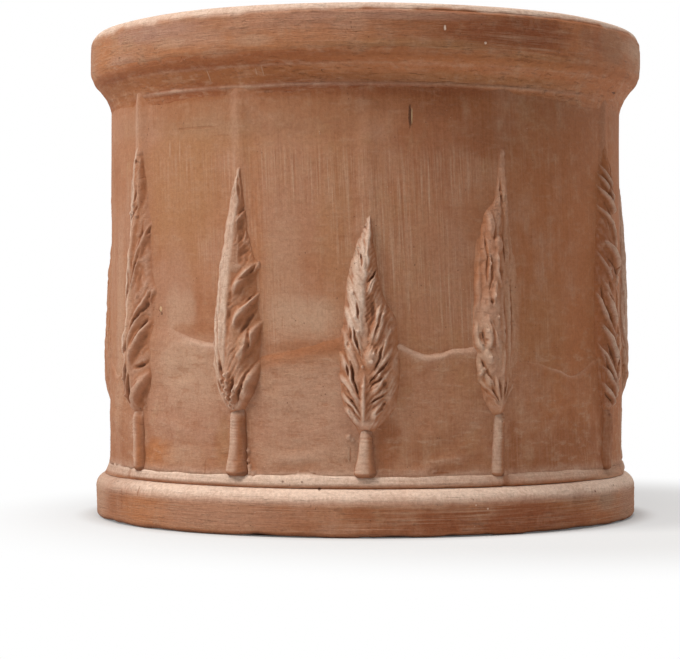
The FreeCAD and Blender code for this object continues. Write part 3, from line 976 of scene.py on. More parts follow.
def makeHill(shape, number):
    start = treeTurns[number - 1]
    end = treeTurns[number % 12] + (2 * math.pi if number == 12 else 0)
    heights, softness, pale, proud = shape["ledges"].get(number, spareLedges[(number - 1) % 4])
    across = np.linspace(0, 1, shape["columns"])[None, :]
    upward = np.linspace(0, 1, shape["rows"])[:, None] ** 0.75
    angle = start + (end - start) * across + 0 * upward
    knots, fine = np.linspace(0, 1, len(heights)), np.linspace(0, 1, 200)
    window = shape["rounding"]
    rounded = np.pad(np.interp(fine, knots, heights), window // 2, mode="edge")
    rounded = np.convolve(rounded, np.ones(window) / window, "valid")
    ledge = np.interp(across, fine, rounded) + 1.2 * waves(angle[:1], 0 * angle[:1], 120, 50, 80 + number)
    soft = np.interp(across, knots, softness)
    low = shape["bottom"]
    height = low + (ledge + 3 + 2.2 * soft - low) * upward
    below = ledge - height
    lip = shape["lip"] * np.exp(-np.clip(below - 2, 0, None) / 9.0) * np.clip(3.2 / (soft + 1.6), 0.3, 1)
    body = shape["thickness"] * (0.35 + 0.65 * proud) + lip * proud ** 2
    rise = -shape["tuck"] + (body + shape["tuck"]) * ease(below, -1.3 * soft, 1.5 * soft + 0.3)
    uneven = dented(angle, height, shape["uneven"])
    for fold in shape["folds"]:
        uneven = uneven + foldRise(angle, height, fold)
    fillet = shape["fillet"] * np.exp(-(height - low) / shape["filletHeight"])
    crumbs = 0 * angle
    for turn, crumbHeight, wide, high in shape["crumbs"]:
        off = turnedOff(angle, math.radians(turn)) * pot["drumRadius"]
        away = (off ** 2 + (height - crumbHeight) ** 2) / wide ** 2
        crumbs = np.maximum(crumbs, high * np.sqrt(np.clip(1 - away, 0, 1)))
    field = rise + uneven + fillet + crumbs
    radius = wallSurface(angle, height) + field
    # pale light on the ledge, shade under a faint one, and dust where the panel meets the bead
    hollow, crest = standing(field, 3, 1.1)
    glow = np.interp(across, knots, pale) * (0.8 + dented(angle, height, shape["glow"]))
    band = 3 + 8.5 * proud ** 2
    fading = 0.45 * ease(below, band, 0.5) + 0.55 * ease(below, 0.45 * band, 1.0)
    crest = 0.3 * crest * ease(below, -3, 3) + 0.68 * glow * ease(below, -3.0, 1.5) * fading
    crest = crest + 0.42 * ease(height, *shape["dust"]) * (0.75 + dented(angle, height, shape["dusty"]))
    shadow = max(0.0, 0.7 - proud) * ease(below, -1, 2) * ease(below, 16, 3)
    marks = {"hollow": np.clip(hollow * 0.5 + shadow, 0, 1), "crest": np.clip(crest, 0, 1)}
    name, node = "hillPanel%02d" % number, "hill_panel_%02d" % number
    return reliefPiece(name, node, wallClay, angle, height, radius, marks)


for number in range(1, 13):
    makeHill(hillShape, number)
print("hill panels made")


# cypress trees
# outline rows are (height, left edge, right edge), ridge rows are (height, across, rise)
# a pad is a leaf: (base across, base height, tip across, tip height, half width, rise, bow, lean)
# a cut is (half width, depth, points of (across, height))
# a dimple is (across, height, half width, half height, depth), a crumb is (across, height, radius, rise)
# edges are (power, rounding) of the left and the right side, tipFade is how flat the leaves end
# flank is how pale the left side is painted, with dust and painted highlight, and between which heights that
# sets in
# grain is the lean of the strands on the left and on the right, their spacing and their depth

frontTree = {
    "outline": [
        (78, -7, 7), (84, -12.5, 14.5), (92, -16.8, 21.5), (100, -18.8, 23.5), (111, -19.7, 24.6),
        (134, -19.3, 24.4), (148, -18.6, 23.4), (158, -17.6, 22.4), (165, -16.8, 19.5), (171, -16.2, 14.5),
        (186, -14.4, 10.2), (205, -10.6, 7.6), (215, -7.8, 5.8), (222, -4.0, 4.8), (231, -0.8, 3.0),
    ],
    "ridge": [
        (78, -1, 5.5), (95, -2, 7.4), (115, -1.5, 8.0), (131, 1.5, 8.2), (145, -1.5, 7.6),
        (158, -3.2, 7.4), (170, -2.6, 7.0), (187, -1, 6.2), (201, 1.6, 4.6), (218, 2.0, 2.6),
        (230, 1.6, 0.8),
    ],
    "pads": [
        (-2.8, 80, -1.2, 119, 2.4, 1.7, 0, 0), (-5, 81, -18.0, 96, 3.0, 1.5, 0.5, -0.3),
        (-4.2, 86, -20.0, 106, 3.2, 1.8, 0.8, -0.3), (-4.4, 94, -20.4, 120, 3.4, 1.9, 0.8, -0.4),
        (-6.0, 103, -20.2, 136, 3.6, 2.0, 0.8, -0.4), (-6.0, 117, -18.8, 152, 3.6, 1.9, 0.6, -0.4),
        (-3.8, 130, -15.5, 168, 3.8, 1.9, 0.6, -0.4), (-4.5, 144, -13.5, 190, 4.6, 1.5, 0.5, -0.2),
        (-3.0, 160, -8.0, 208, 4.4, 1.4, 0.5, -0.2), (-1.0, 182, -3.2, 218, 3.4, 1.4, 0.4, -0.2),
        (0.6, 190, 1.8, 233, 3.2, 1.6, 0.3, 0), (2.5, 85, 15.0, 100, 3.6, 1.9, -0.6, 0.4),
        (2.5, 95, 17.0, 110, 2.8, 1.6, -0.6, 0.4), (3.0, 102, 18.4, 123, 3.2, 1.8, -0.6, 0.4),
        (4.0, 112, 18.6, 138, 3.6, 2.0, -0.6, 0.4), (5.0, 120, 17.0, 151, 3.2, 1.8, -0.6, 0.4),
        (4.5, 138, 14.9, 169, 3.0, 1.9, -0.4, 0.4), (2.0, 138, 11.5, 172, 2.4, 1.8, -0.4, 0.4),
        (2.0, 175, 7.6, 189, 2.8, 1.9, -1.2, 0.5), (3.2, 121.5, 3.2, 140, 5.0, 1.7, 0, 0),
        (14, 92, 22.5, 136, 5.0, 1.2, 1.0, 0.2),
    ],
    "cuts": [
        (1.0, 3.0, [(11.9, 142), (9.0, 131), (5.6, 122)]),
        (1.1, 3.6, [(17.0, 131.5), (10, 122), (2.8, 112.8)]), (0.9, 2.4, [(11.5, 116.5), (3.0, 109)]),
        (0.9, 2.8, [(14.8, 105.6), (8, 101), (1.9, 97.2)]),
        (1.5, 3.6, [(14.2, 99), (10.5, 94), (7.0, 89.6)]),
        (1.0, 2.8, [(7.4, 194.3), (4.5, 189), (0.6, 184.5)]), (0.9, 2.6, [(-12.4, 153), (-10.9, 143)]),
        (1.0, 3.2, [(-9.8, 152), (-6.8, 141), (-4.2, 132)]), (0.9, 3.0, [(-14.3, 125), (-12.9, 116)]),
        (1.1, 3.6, [(-11.2, 128), (-8.6, 113), (-4.9, 102.5)]),
        (0.9, 2.4, [(-16.0, 104.5), (-9, 96), (-5.0, 91)]),
        (0.9, 2.4, [(-15.5, 98), (-9, 91), (-4.2, 86)]), (0.8, 2.2, [(-17.5, 112), (-12, 104), (-8, 98)]),
        (0.8, 1.8, [(12, 165), (7.4, 153), (4.2, 143)]), (0.8, 1.8, [(-7.4, 172), (-5.0, 156)]),
        (0.8, 1.8, [(-3.8, 207), (-2.8, 196)]),
    ],
    "dimples": [
        (3.2, 163, 4.0, 17, 1.9), (2.4, 208, 1.6, 7, 0.8), (-13.5, 139, 1.6, 3, 1.2),
        (12.5, 112, 2, 3, 1.0),
    ],
    "crumbs": [
        (3.0, 128, 1.6, 0.8), (-3.0, 124, 1.3, 0.8), (-2.0, 110, 1.3, 0.7), (9.0, 118, 1.4, 0.9),
        (-8.0, 160, 1.5, 0.7), (-10.0, 178, 1.6, 0.7), (5.4, 134, 1.2, 0.8), (-6.4, 150, 1.2, 0.7),
    ],
    "edges": ((1.8, 1.05), (2.4, 1.0)), "tipFade": 0.3, "flank": (0.9, 132, 166),
    "grain": (-0.55, 0.62, 3.0, 0.95), "rub": 1.5, "relief": 1.0, "soft": 1,
}
leftTree = {
    "outline": [
        (91, -8, 6), (97, -13, 9.5), (108, -18, 16.5), (115, -19.8, 17.6), (127, -21, 18.6),
        (135, -21.6, 18.8), (155, -21.0, 19), (165, -20.2, 17.4), (176, -19, 16.4), (199, -16.6, 15.8),
        (210, -15, 12), (222, -12.8, 9), (235, -10.2, 7), (248, -7.2, 5.2), (267, -1.4, 2.8),
    ],
    "ridge": [
        (91, -3, 5.5), (104, -5.5, 7.6), (120, -5.9, 8.2), (136, -6.4, 8.4), (155, -6.1, 8.2),
        (174, -5.7, 7.8), (193, -4.2, 7.2), (212, -2.8, 6.2), (234, 0, 4.6), (250, 1.8, 3.0),
        (267, 1.2, 1.6),
    ],
    "pads": [
        (-1.0, 176, 15.6, 200, 3.4, 2.8, -1.2, 0.35), (12.0, 192, 17.4, 201.5, 3.2, 1.6, 0, 0.3),
        (-1.4, 149, 17.4, 178, 3.6, 3.1, -1.8, 0.4), (0.0, 156, 8.5, 169, 1.8, 1.4, -0.5, 0.3),
        (4.0, 126, 19.4, 158, 5.0, 3.2, -1.4, 0.3), (3.0, 134, 10.5, 150, 2.8, 1.6, -0.6, 0.3),
        (-1.4, 98, 17.2, 129, 2.0, 2.0, -1.2, 0.5), (6.0, 95, 18.8, 127.5, 5.2, 3.2, -1.2, 0.25),
        (2.0, 92, 13.5, 106, 3.4, 1.4, -0.8, 0.3), (1.0, 226, 7.0, 241, 1.8, 1.2, -0.5, 0.4),
        (-6.4, 128, 1.6, 268, 7.0, 0.9, -4.0, 0), (-9.0, 120, -13.2, 218, 2.6, 1.5, -2.4, -0.3),
        (-8.5, 110, -18.6, 176, 2.4, 1.6, -1.6, -0.4), (-7.5, 102, -20.4, 152, 2.2, 1.6, -1.2, -0.4),
        (-6.5, 98, -19.8, 135, 2.2, 1.7, -0.8, -0.4), (-5.8, 95, -17.0, 116, 2.0, 1.6, -0.5, -0.4),
        (-4.6, 94, -4.2, 122, 2.0, 1.7, 0, 0), (-1.6, 94, 2.4, 114, 1.8, 1.6, 0, 0.2),
        (-7.5, 98, -6.0, 108, 2.2, 1.4, 0, 0),
    ],
    "cuts": [
        (0.9, 1.6, [(1.4, 264), (1.8, 256), (3.0, 248)]),
        (1.6, 1.0, [(-0.2, 184), (-2.6, 168), (-3.4, 155), (-4.8, 143), (-5.6, 124)]),
        (0.9, 1.8, [(-10.6, 231.5), (-14.1, 205), (-15.4, 187), (-14.1, 162), (-12, 139), (-9.2, 126)]),
        (0.9, 2.2, [(-20, 168), (-17.3, 143), (-13.7, 124)]),
        (1.1, 2.8, [(15.2, 198), (9.0, 190), (3, 186.5)]),
        (1.0, 2.4, [(16.6, 178.5), (9, 170.5), (3.0, 164)]),
        (1.2, 3.0, [(15.5, 165), (8.4, 154), (5.4, 148)]),
        (1.2, 3.2, [(10.0, 152), (11.5, 142), (9.0, 131)]),
        (1.1, 3.0, [(16.8, 128), (9.5, 119), (5.2, 103)]), (1.0, 2.8, [(8.4, 118), (4.2, 106), (2.6, 96)]),
        (1.0, 2.4, [(0.4, 118), (-1.2, 104)]), (0.9, 2.4, [(-13.5, 116), (-8.5, 104)]),
        (0.9, 2.2, [(-10.4, 128), (-7.4, 112)]), (1.0, 2.2, [(6.6, 242), (2.8, 234)]),
    ],
    "dimples": [
        (-17.2, 119.5, 1.2, 1.5, 1.6), (-18.0, 134, 1.0, 1.6, 1.5), (-13.5, 112, 1.0, 1.5, 1.4),
        (-10.5, 95, 1.0, 1.3, 1.4), (6.5, 206, 4.5, 9, 1.4), (4.5, 222, 2.4, 14, 1.2),
    ],
    "crumbs": [
        (-6.0, 117, 1.6, 1.2), (-4.2, 112, 1.4, 1.1), (-5.6, 107, 1.5, 1.2), (-3.2, 104, 1.3, 1.1),
        (-4.8, 100, 1.6, 1.2), (-2.4, 97, 1.4, 1.1), (-1.0, 101, 1.2, 1.0), (-7.4, 110, 1.2, 1.0),
        (-7.8, 104, 1.3, 1.0), (-4.0, 94, 1.5, 1.1), (-1.4, 92, 1.3, 1.0), (-9.6, 114, 1.1, 0.9),
        (-3.0, 119, 1.2, 0.8), (0.6, 106, 1.1, 0.8),
    ],
    "edges": ((1.8, 1.0), (2.2, 1.2)), "tipFade": 0.1, "flank": (0.75, 110, 150),
    "grain": (None, 0.62, 3.6, 0.6), "rub": 1.2, "relief": 1.0, "soft": 2,
}
rightTree = {
    "outline": [
        (89, -6.5, 6.5), (94, -10.5, 9), (104, -15, 13.5), (115, -18.6, 17.5), (126, -20.4, 21),
        (133, -21, 23), (156, -21.4, 24), (171, -20.6, 23.5), (185, -19.4, 22), (201, -18, 19),
        (224, -15.6, 13), (238, -12.6, 10.5), (246, -4.0, 10), (262, -1.2, 9.4), (282, 1.4, 8.4),
    ],
    "ridge": [
        (89, -1.2, 5.2), (104, -2.4, 6.4), (120, -3, 7.0), (140, -3.4, 7.2), (160, -4, 7.0),
        (185, -4.2, 6.4), (205, -4.6, 5.8), (225, -4, 4.6), (245, 1.5, 3.2), (279, 4.4, 1.8),
    ],
    "pads": [
        (-8.4, 219, -10.4, 240, 3.3, 2.2, 1.0, -0.2), (-2.6, 206, -3.8, 221, 3.3, 2.0, 0.8, 0.3),
        (-17.0, 164, -16.4, 222, 2.4, 1.8, -1.2, -0.3), (-5.2, 190, -4.6, 209, 2.0, 1.7, 0.8, 0.2),
        (0.6, 182, -4.4, 197, 2.2, 1.7, -0.8, 0.2), (-11.6, 186, -10.6, 212, 1.5, 1.4, 0.6, 0),
        (-13.6, 133, -18.0, 156, 2.3, 2.4, -3.2, -0.2), (-14.2, 133, -14.4, 156, 2.4, 2.0, 3.4, 0.3),
        (-3.8, 136, -11.6, 162, 2.2, 2.0, -0.6, 0.4), (0.4, 137, 0.2, 168, 2.4, 1.5, 0, 0.2),
        (-2.2, 114, 0.2, 141, 2.2, 1.6, 0.6, 0), (-10.0, 124, -13.8, 138, 3.0, 1.8, 0, -0.2),
        (-15.6, 117, -19.6, 127, 2.2, 2.0, 0.4, -0.3), (-9.0, 108, -14.2, 119, 2.4, 2.1, 0.6, -0.3),
        (-1.6, 92, -18.8, 115, 2.2, 1.6, 0.8, -0.4), (-1.6, 92, -14.0, 111, 2.0, 1.6, 0.5, -0.4),
        (-1.4, 92, -7.4, 118, 2.0, 1.6, 0.3, -0.3), (-1.0, 92, -0.6, 120, 2.0, 1.7, 0, 0),
        (-0.6, 92, 6.4, 116, 1.9, 1.6, -0.3, 0.3), (0.6, 93, 14.6, 112, 2.2, 1.8, -0.5, 0.4),
        (5.0, 118, 6.8, 186, 2.6, 1.2, 0.8, 0.2), (4.0, 214, 4.8, 268, 3.4, 2.4, 0.6, 0),
        (6.4, 196, 6.2, 240, 2.4, 1.0, 0, 0), (-6.5, 168, -5.0, 188, 2.0, 1.5, -0.6, 0),
    ],
    "cuts": [
        (1.0, 2.6, [(-12.9, 220), (-10.7, 205), (-12.2, 185)]),
        (1.0, 2.4, [(-8.6, 206), (-8.2, 190), (-10, 181)]), (1.0, 2.2, [(-5.6, 226), (-6.6, 216)]),
        (0.9, 2.0, [(0.8, 222), (1.8, 208), (2.6, 200)]), (0.9, 1.8, [(9.4, 188), (9.0, 160), (8.6, 136)]),
        (0.9, 2.4, [(-11.0, 158), (-8.0, 150), (-7.4, 138)]), (0.9, 2.2, [(-15.2, 150), (-13.6, 140)]),
        (0.9, 2.2, [(-17.4, 131), (-13.0, 121), (-8.6, 112)]),
        (1.0, 2.6, [(-17.6, 112), (-10, 104), (-4.0, 96)]), (0.8, 2.0, [(-10.6, 113), (-4.0, 98)]),
        (0.8, 1.8, [(-4.2, 114), (-2.2, 99)]), (0.8, 1.8, [(3.2, 113), (1.0, 99)]),
        (1.1, 2.6, [(14.0, 110.5), (8.4, 102), (3.4, 96)]), (0.8, 1.6, [(2.4, 176), (2.0, 156)]),
        (0.9, 1.8, [(0.6, 262), (1.2, 246), (0.2, 238)]), (0.7, 1.2, [(12, 122), (12, 112)]),
    ],
    "dimples": [
        (-7.8, 172, 1.4, 2.2, 1.5), (1.5, 149, 2.0, 2.6, 1.4), (-12.6, 143, 1.2, 1.4, 1.2),
        (-0.6, 193, 2.4, 6, 1.2), (0.6, 254, 1.2, 2.2, 1.2), (-16.6, 145, 1.8, 4.0, 0.5),
    ],
    "crumbs": [
        (-14.0, 122, 1.5, 1.0), (-17.0, 118, 1.3, 0.9), (2.0, 110, 1.3, 0.8), (-11.0, 130, 1.3, 0.9),
        (-6.0, 176, 1.4, 0.9), (-9.0, 200, 1.4, 0.8), (-12.6, 150, 1.2, 0.9), (-3.4, 160, 1.3, 0.8),
    ],
    "edges": ((2.0, 1.0), (1.2, 1.9)), "tipFade": 0.2, "flank": (0.25, 100, 120),
    "grain": (-0.22, 0.06, 3.4, 0.34), "rub": 0.8, "relief": 0.76, "soft": 1,
}
farLeftTree = {
    "outline": [
        (88, -7.5, 7.5), (96, -13, 13), (106, -17.5, 18), (118, -20.5, 19.5), (132, -22, 19.5),
        (150, -22.5, 20.5), (168, -21, 20.5), (181, -20, 24.5), (190, -18.8, 19), (205, -17, 16.5),
        (222, -14.8, 14.5), (231, -13.8, 17.5), (240, -12.6, 12.5), (254, -11, 10), (270, -8.6, 8),
        (288, -7, 5),
    ],
    "ridge": [
        (88, -3, 5.5), (104, -6.5, 7.2), (124, -9, 8.0), (150, -10, 8.0), (175, -6.5, 7.6), (200, -4, 7.0),
        (225, -5, 6.0), (250, -4, 4.6), (270, -2, 3.2), (288, -1, 2.2),
    ],
    "pads": [
        (-4.0, 123, 17.6, 156, 5.2, 3.2, -1.6, 0.3), (-0.6, 91, 17.6, 119, 5.6, 3.4, -1.4, 0.3),
        (0.4, 93, 13.0, 112, 2.4, 1.4, -1.6, 0.4), (-8.2, 130, 22.5, 184, 4.6, 2.2, -2.4, 0.4),
        (-13.5, 158, 1.6, 232, 4.4, 1.5, -1.2, 0.2), (-12.5, 216, -3.6, 280, 3.4, 1.6, -1.0, 0),
        (2.0, 200, 16.4, 233, 3.6, 1.9, -1.2, 0.4), (3.4, 238, 4.2, 282, 3.2, 1.6, 0.6, 0.2),
        (-14.0, 92, -20.5, 150, 3.4, 1.4, -1.2, -0.3), (-9.2, 91, -8.0, 131, 1.9, 2.0, 0, 0),
        (-5.6, 91, -5.0, 118, 1.7, 1.8, 0, 0), (-9.5, 128, -11.0, 152, 2.0, 1.6, 0, 0),
        (-3.2, 176, 8.0, 214, 3.0, 1.2, -0.8, 0.3), (-4.0, 200, 4.0, 246, 2.8, 1.3, -1.0, 0.2),
    ],
    "cuts": [
        (1.2, 3.0, [(4.0, 246), (-3, 240), (-9.2, 233), (-13.0, 222), (-14.4, 214)]),
        (1.0, 2.4, [(0.8, 258), (-3.2, 246)]), (1.1, 2.6, [(15.6, 231), (12.4, 223)]),
        (0.9, 1.6, [(9.0, 234), (6.6, 216), (1.3, 206)]),
        (1.9, 4.0, [(19.0, 179), (13.8, 168), (2.2, 157), (-5.5, 143), (-9.5, 131)]),
        (1.4, 3.4, [(17, 128), (9, 123), (3, 121)]), (0.9, 2.8, [(-1.0, 97), (3.0, 106), (9.5, 113.5)]),
        (1.7, 4.4, [(-18.2, 125), (-16.8, 108), (-14.2, 93)]), (1.4, 4.0, [(-7.0, 126), (-7.4, 94)]),
        (1.2, 3.4, [(-3.2, 118), (-3.4, 94)]), (1.0, 2.0, [(-4, 200), (-6, 184), (-14, 160)]),
        (1.4, 3.6, [(-12.4, 142), (-11.6, 112), (-10.8, 96)]),
        (1.2, 3.0, [(15.5, 160), (8, 148), (1, 138)]), (1.0, 2.4, [(9, 214), (2, 198), (-4, 180)]),
    ],
    "dimples": [
        (0.0, 280, 1.2, 2.0, 2.0), (8, 190, 5, 14, 1.0), (12, 125, 3.0, 2.4, 1.6), (6.6, 222, 1.2, 3, 1.0),
    ],
    "crumbs": [
        (-6.0, 100, 1.5, 1.0), (-10.0, 112, 1.4, 0.9), (-2.0, 246, 1.6, 0.9), (3.0, 238, 1.4, 0.8),
        (-8.0, 240, 1.4, 0.8),
    ],
    "edges": ((1.5, 1.3), (2.2, 1.1)), "tipFade": 0.1, "flank": (0.95, 100, 120),
    "grain": (None, 0.5, 4.6, 0.42), "rub": 0.9, "relief": 1.0, "soft": 2,
}
farRightTree = {
    "outline": [
        (88, -7.5, 7.5), (96, -13, 12), (106, -17, 16.5), (118, -19.4, 19), (132, -20.4, 20.5),
        (150, -21, 20.5), (175, -21, 18.6), (200, -20, 16.6), (225, -19, 13.6), (250, -16, 10.5),
        (265, -13.6, 9), (276, -9.6, 7.6), (290, -3.2, 6),
    ],
    "ridge": [
        (88, 0, 5.2), (110, 1, 7.0), (140, 2, 7.6), (170, 2, 7.4), (200, 2, 7.0), (225, 1, 5.8),
        (250, 1, 4.4), (275, 1, 2.8), (290, 1.6, 1.8),
    ],
    "pads": [
        (4.0, 256, -11.0, 282, 1.7, 2.0, 1.0, -0.5), (8.0, 246, -14.6, 274, 1.8, 2.4, 1.2, -0.5),
        (10.0, 236, -16.4, 264, 1.9, 2.6, 1.2, -0.5), (10.0, 224, -18.0, 249, 1.5, 1.8, 1.0, -0.5),
        (6.0, 221, -8.0, 244, 1.4, 1.6, 1.0, -0.5), (15.0, 188, -10.6, 221, 3.8, 3.4, 1.8, -0.5),
        (10.0, 208, -4.0, 240, 1.6, 2.0, 1.0, -0.4), (1.0, 180, -18.0, 213, 1.7, 1.4, 1.0, -0.5),
        (4.0, 160, -16.0, 194, 1.6, 1.2, 1.0, -0.5), (1.0, 148, -9.0, 180, 2.6, 2.6, 0.8, -0.4),
        (-8.0, 154, -19.4, 181, 2.0, 2.0, 0.8, -0.5), (3.0, 136, -13.4, 166, 1.5, 1.2, 1.0, -0.5),
        (3.0, 120, -14.4, 155, 3.0, 2.8, 1.2, -0.5), (-2.0, 112, -18.8, 141, 1.8, 2.0, 0.8, -0.5),
        (4.0, 102, -16.6, 133, 2.4, 2.4, 1.0, -0.5), (6.0, 95, -14.6, 123, 2.1, 2.2, 1.0, -0.5),
        (3.0, 89, -14.8, 111, 2.1, 2.0, 0.8, -0.4), (1.0, 94, 16.0, 116, 3.4, 2.0, -1.0, 0.4),
        (1.0, 106, 18.6, 138, 3.6, 2.0, -1.2, 0.4), (2.0, 126, 19.2, 164, 3.6, 2.0, -1.2, 0.4),
        (3.0, 152, 17.4, 190, 3.4, 2.0, -1.2, 0.4), (3.0, 180, 15.0, 214, 3.2, 1.8, -1.0, 0.4),
        (3.0, 208, 11.5, 240, 3.0, 1.8, -0.8, 0.3), (2.0, 238, 6.4, 286, 3.0, 1.6, -0.6, 0),
    ],
    "cuts": [
        (1.1, 2.8, [(-5.0, 268), (1.0, 250), (10.0, 238)]),
        (1.3, 3.2, [(4.0, 254), (10.0, 244), (16.0, 236)]), (1.0, 2.6, [(-8.0, 250), (0, 238), (6, 230)]),
        (1.3, 3.0, [(-8.0, 208), (2, 198), (12, 186)]), (1.1, 2.8, [(-10, 170), (-4, 156)]),
        (1.0, 2.4, [(-14, 186), (-11, 168)]), (1.2, 3.0, [(-10, 140), (0, 120)]),
        (1.1, 2.8, [(-14, 131), (-4, 110)]), (1.4, 3.4, [(0, 110), (5, 103), (8, 97)]),
        (1.1, 2.6, [(-10, 102), (0, 92)]), (1.1, 2.6, [(6, 122), (14, 134)]),
        (1.1, 2.6, [(6, 160), (13, 174)]), (1.0, 2.6, [(5, 196), (11, 208)]),
    ],
    "dimples": [
        (3.7, 105, 1.6, 2.2, 1.8), (-3, 186, 4, 7, 1.0),
    ],
    "crumbs": [
        (-6.0, 198, 1.5, 0.9), (2.0, 146, 1.5, 0.9),
    ],
    "edges": ((1.9, 1.1), (1.8, 1.0)), "tipFade": 0.1, "flank": (0.0, 100, 120),
    "grain": (-0.42, 0.5, 4.0, 0.8), "rub": 1.2, "relief": 1.15, "soft": 1,
}
treeForms = [
    frontTree, rightTree, farRightTree, leftTree,
    frontTree, rightTree, farLeftTree, leftTree,
    frontTree, rightTree, farLeftTree, leftTree,
]
neckHeights = [78.0, 89.0, 88.0, 91.0]
seenTrees = (1, 2, 3, 11, 12)
# how far leaves, foliage, trunk and crumbs stand out, over what height the foliage starts above the neck,
# and from what height it fades; the two trees at the sides have their own
plainRelief = {"leaves": 1.0, "foliage": 1.0, "trunk": 1.0, "crumbs": 1.7, "start": 5, "fadeFrom": 400}
sideRelief = {
    4: {"leaves": 0.5, "foliage": 0.74, "trunk": 0.45, "crumbs": 0.0, "start": 26, "fadeFrom": 400},
    10: {"leaves": 0.5, "foliage": 0.74, "trunk": 0.45, "crumbs": 0.0, "start": 22, "fadeFrom": 185},
}
foliageShape = {
    "columns": 124, "pitch": 0.7, "tuck": 1.5, "margin": 7, "crown": 1.12, "leaf": 1.35, "leanShare": 0.55,
    "cutDepth": 0.9, "cutWidth": 1.25, "edgeStrands": 17, "below": 4, "above": 14, "inset": 0.45,
    "rim": (0.86, 1.0), "hillRise": 1.2, "hillFade": (165, 125),
    # how leaves wander across and upward, on the trees that are seen and on their copies
    "wander": [(0.6, 15, 21, 200), (0.5, 4.5, 5, 205)], "climb": [(0.6, 14, 19, 220), (0.6, 5, 4.5, 225)],
    "copyWander": [(1.5, 15, 21, 200), (0.5, 4.5, 5, 205)],
    "copyClimb": [(2.8, 14, 19, 220), (0.6, 5, 4.5, 225)],
    "ragged": [(0.6, 2.4, 3.4, 240)], "dents": [(0.40, 4.2, 6, 260), (0.22, 1.8, 2.6, 280)],
    "strandBend": [(0.7, 8, 12, 290)], "strandPatch": [(0.7, 7, 9, 295)],
}


def padRise(across, upward, pad):
    # how far one leaf stands out, widest in its middle and bent by its bow
    fromA, fromU, toA, toU, wide, high, bow, lean = pad
    runA, runU = toA - fromA, toU - fromU
    span = math.hypot(runA, runU)
    along = ((across - fromA) * runA + (upward - fromU) * runU) / span ** 2
    aside = ((across - fromA) * runU - (upward - fromU) * runA) / span
    inside = np.clip(along, 0, 1)
    aside = aside - bow * 4 * inside * (1 - inside)
    width = wide * np.sin(math.pi * inside ** 0.9) ** 0.5 + 1e-6
    tilt = lean * foliageShape["leanShare"]
    off = aside / width - tilt
    off = np.where(off < 0, -off / (1 + tilt), off / (1 - tilt))
    body = np.clip(1 - off ** 2, 0, 1)
    rise = high * ease(inside, 0, 0.3) * (1 - 0.6 * ease(inside, 0.65, 1))
    return np.where((along > 0) & (along < 1), rise * body, 0)


def cutDepth(across, upward, cut):
    # how deep one knife cut goes, tapered to both ends
    wide, deep, points = cut
    lengths = [math.dist(p, q) for p, q in zip(points, points[1:])]
    total, run = sum(lengths), 0.0
    near, spot = 1e9 + 0 * across, 0 * across
    for (pA, pU), (qA, qU), length in zip(points, points[1:], lengths):
        share = np.clip(((across - pA) * (qA - pA) + (upward - pU) * (qU - pU)) / length ** 2, 0, 1)
        away = np.hypot(across - pA - share * (qA - pA), upward - pU - share * (qU - pU))
        closer = away < near
        near = np.where(closer, away, near)
        spot = np.where(closer, (run + share * length) / total, spot)
        run += length
    taper = np.sin(math.pi * np.clip(spot, 0.04, 0.96)) ** 0.5
    width = foliageShape["cutWidth"] * wide * taper
    return foliageShape["cutDepth"] * deep * taper * np.clip(1 - (near / width) ** 1.6, 0, 1)


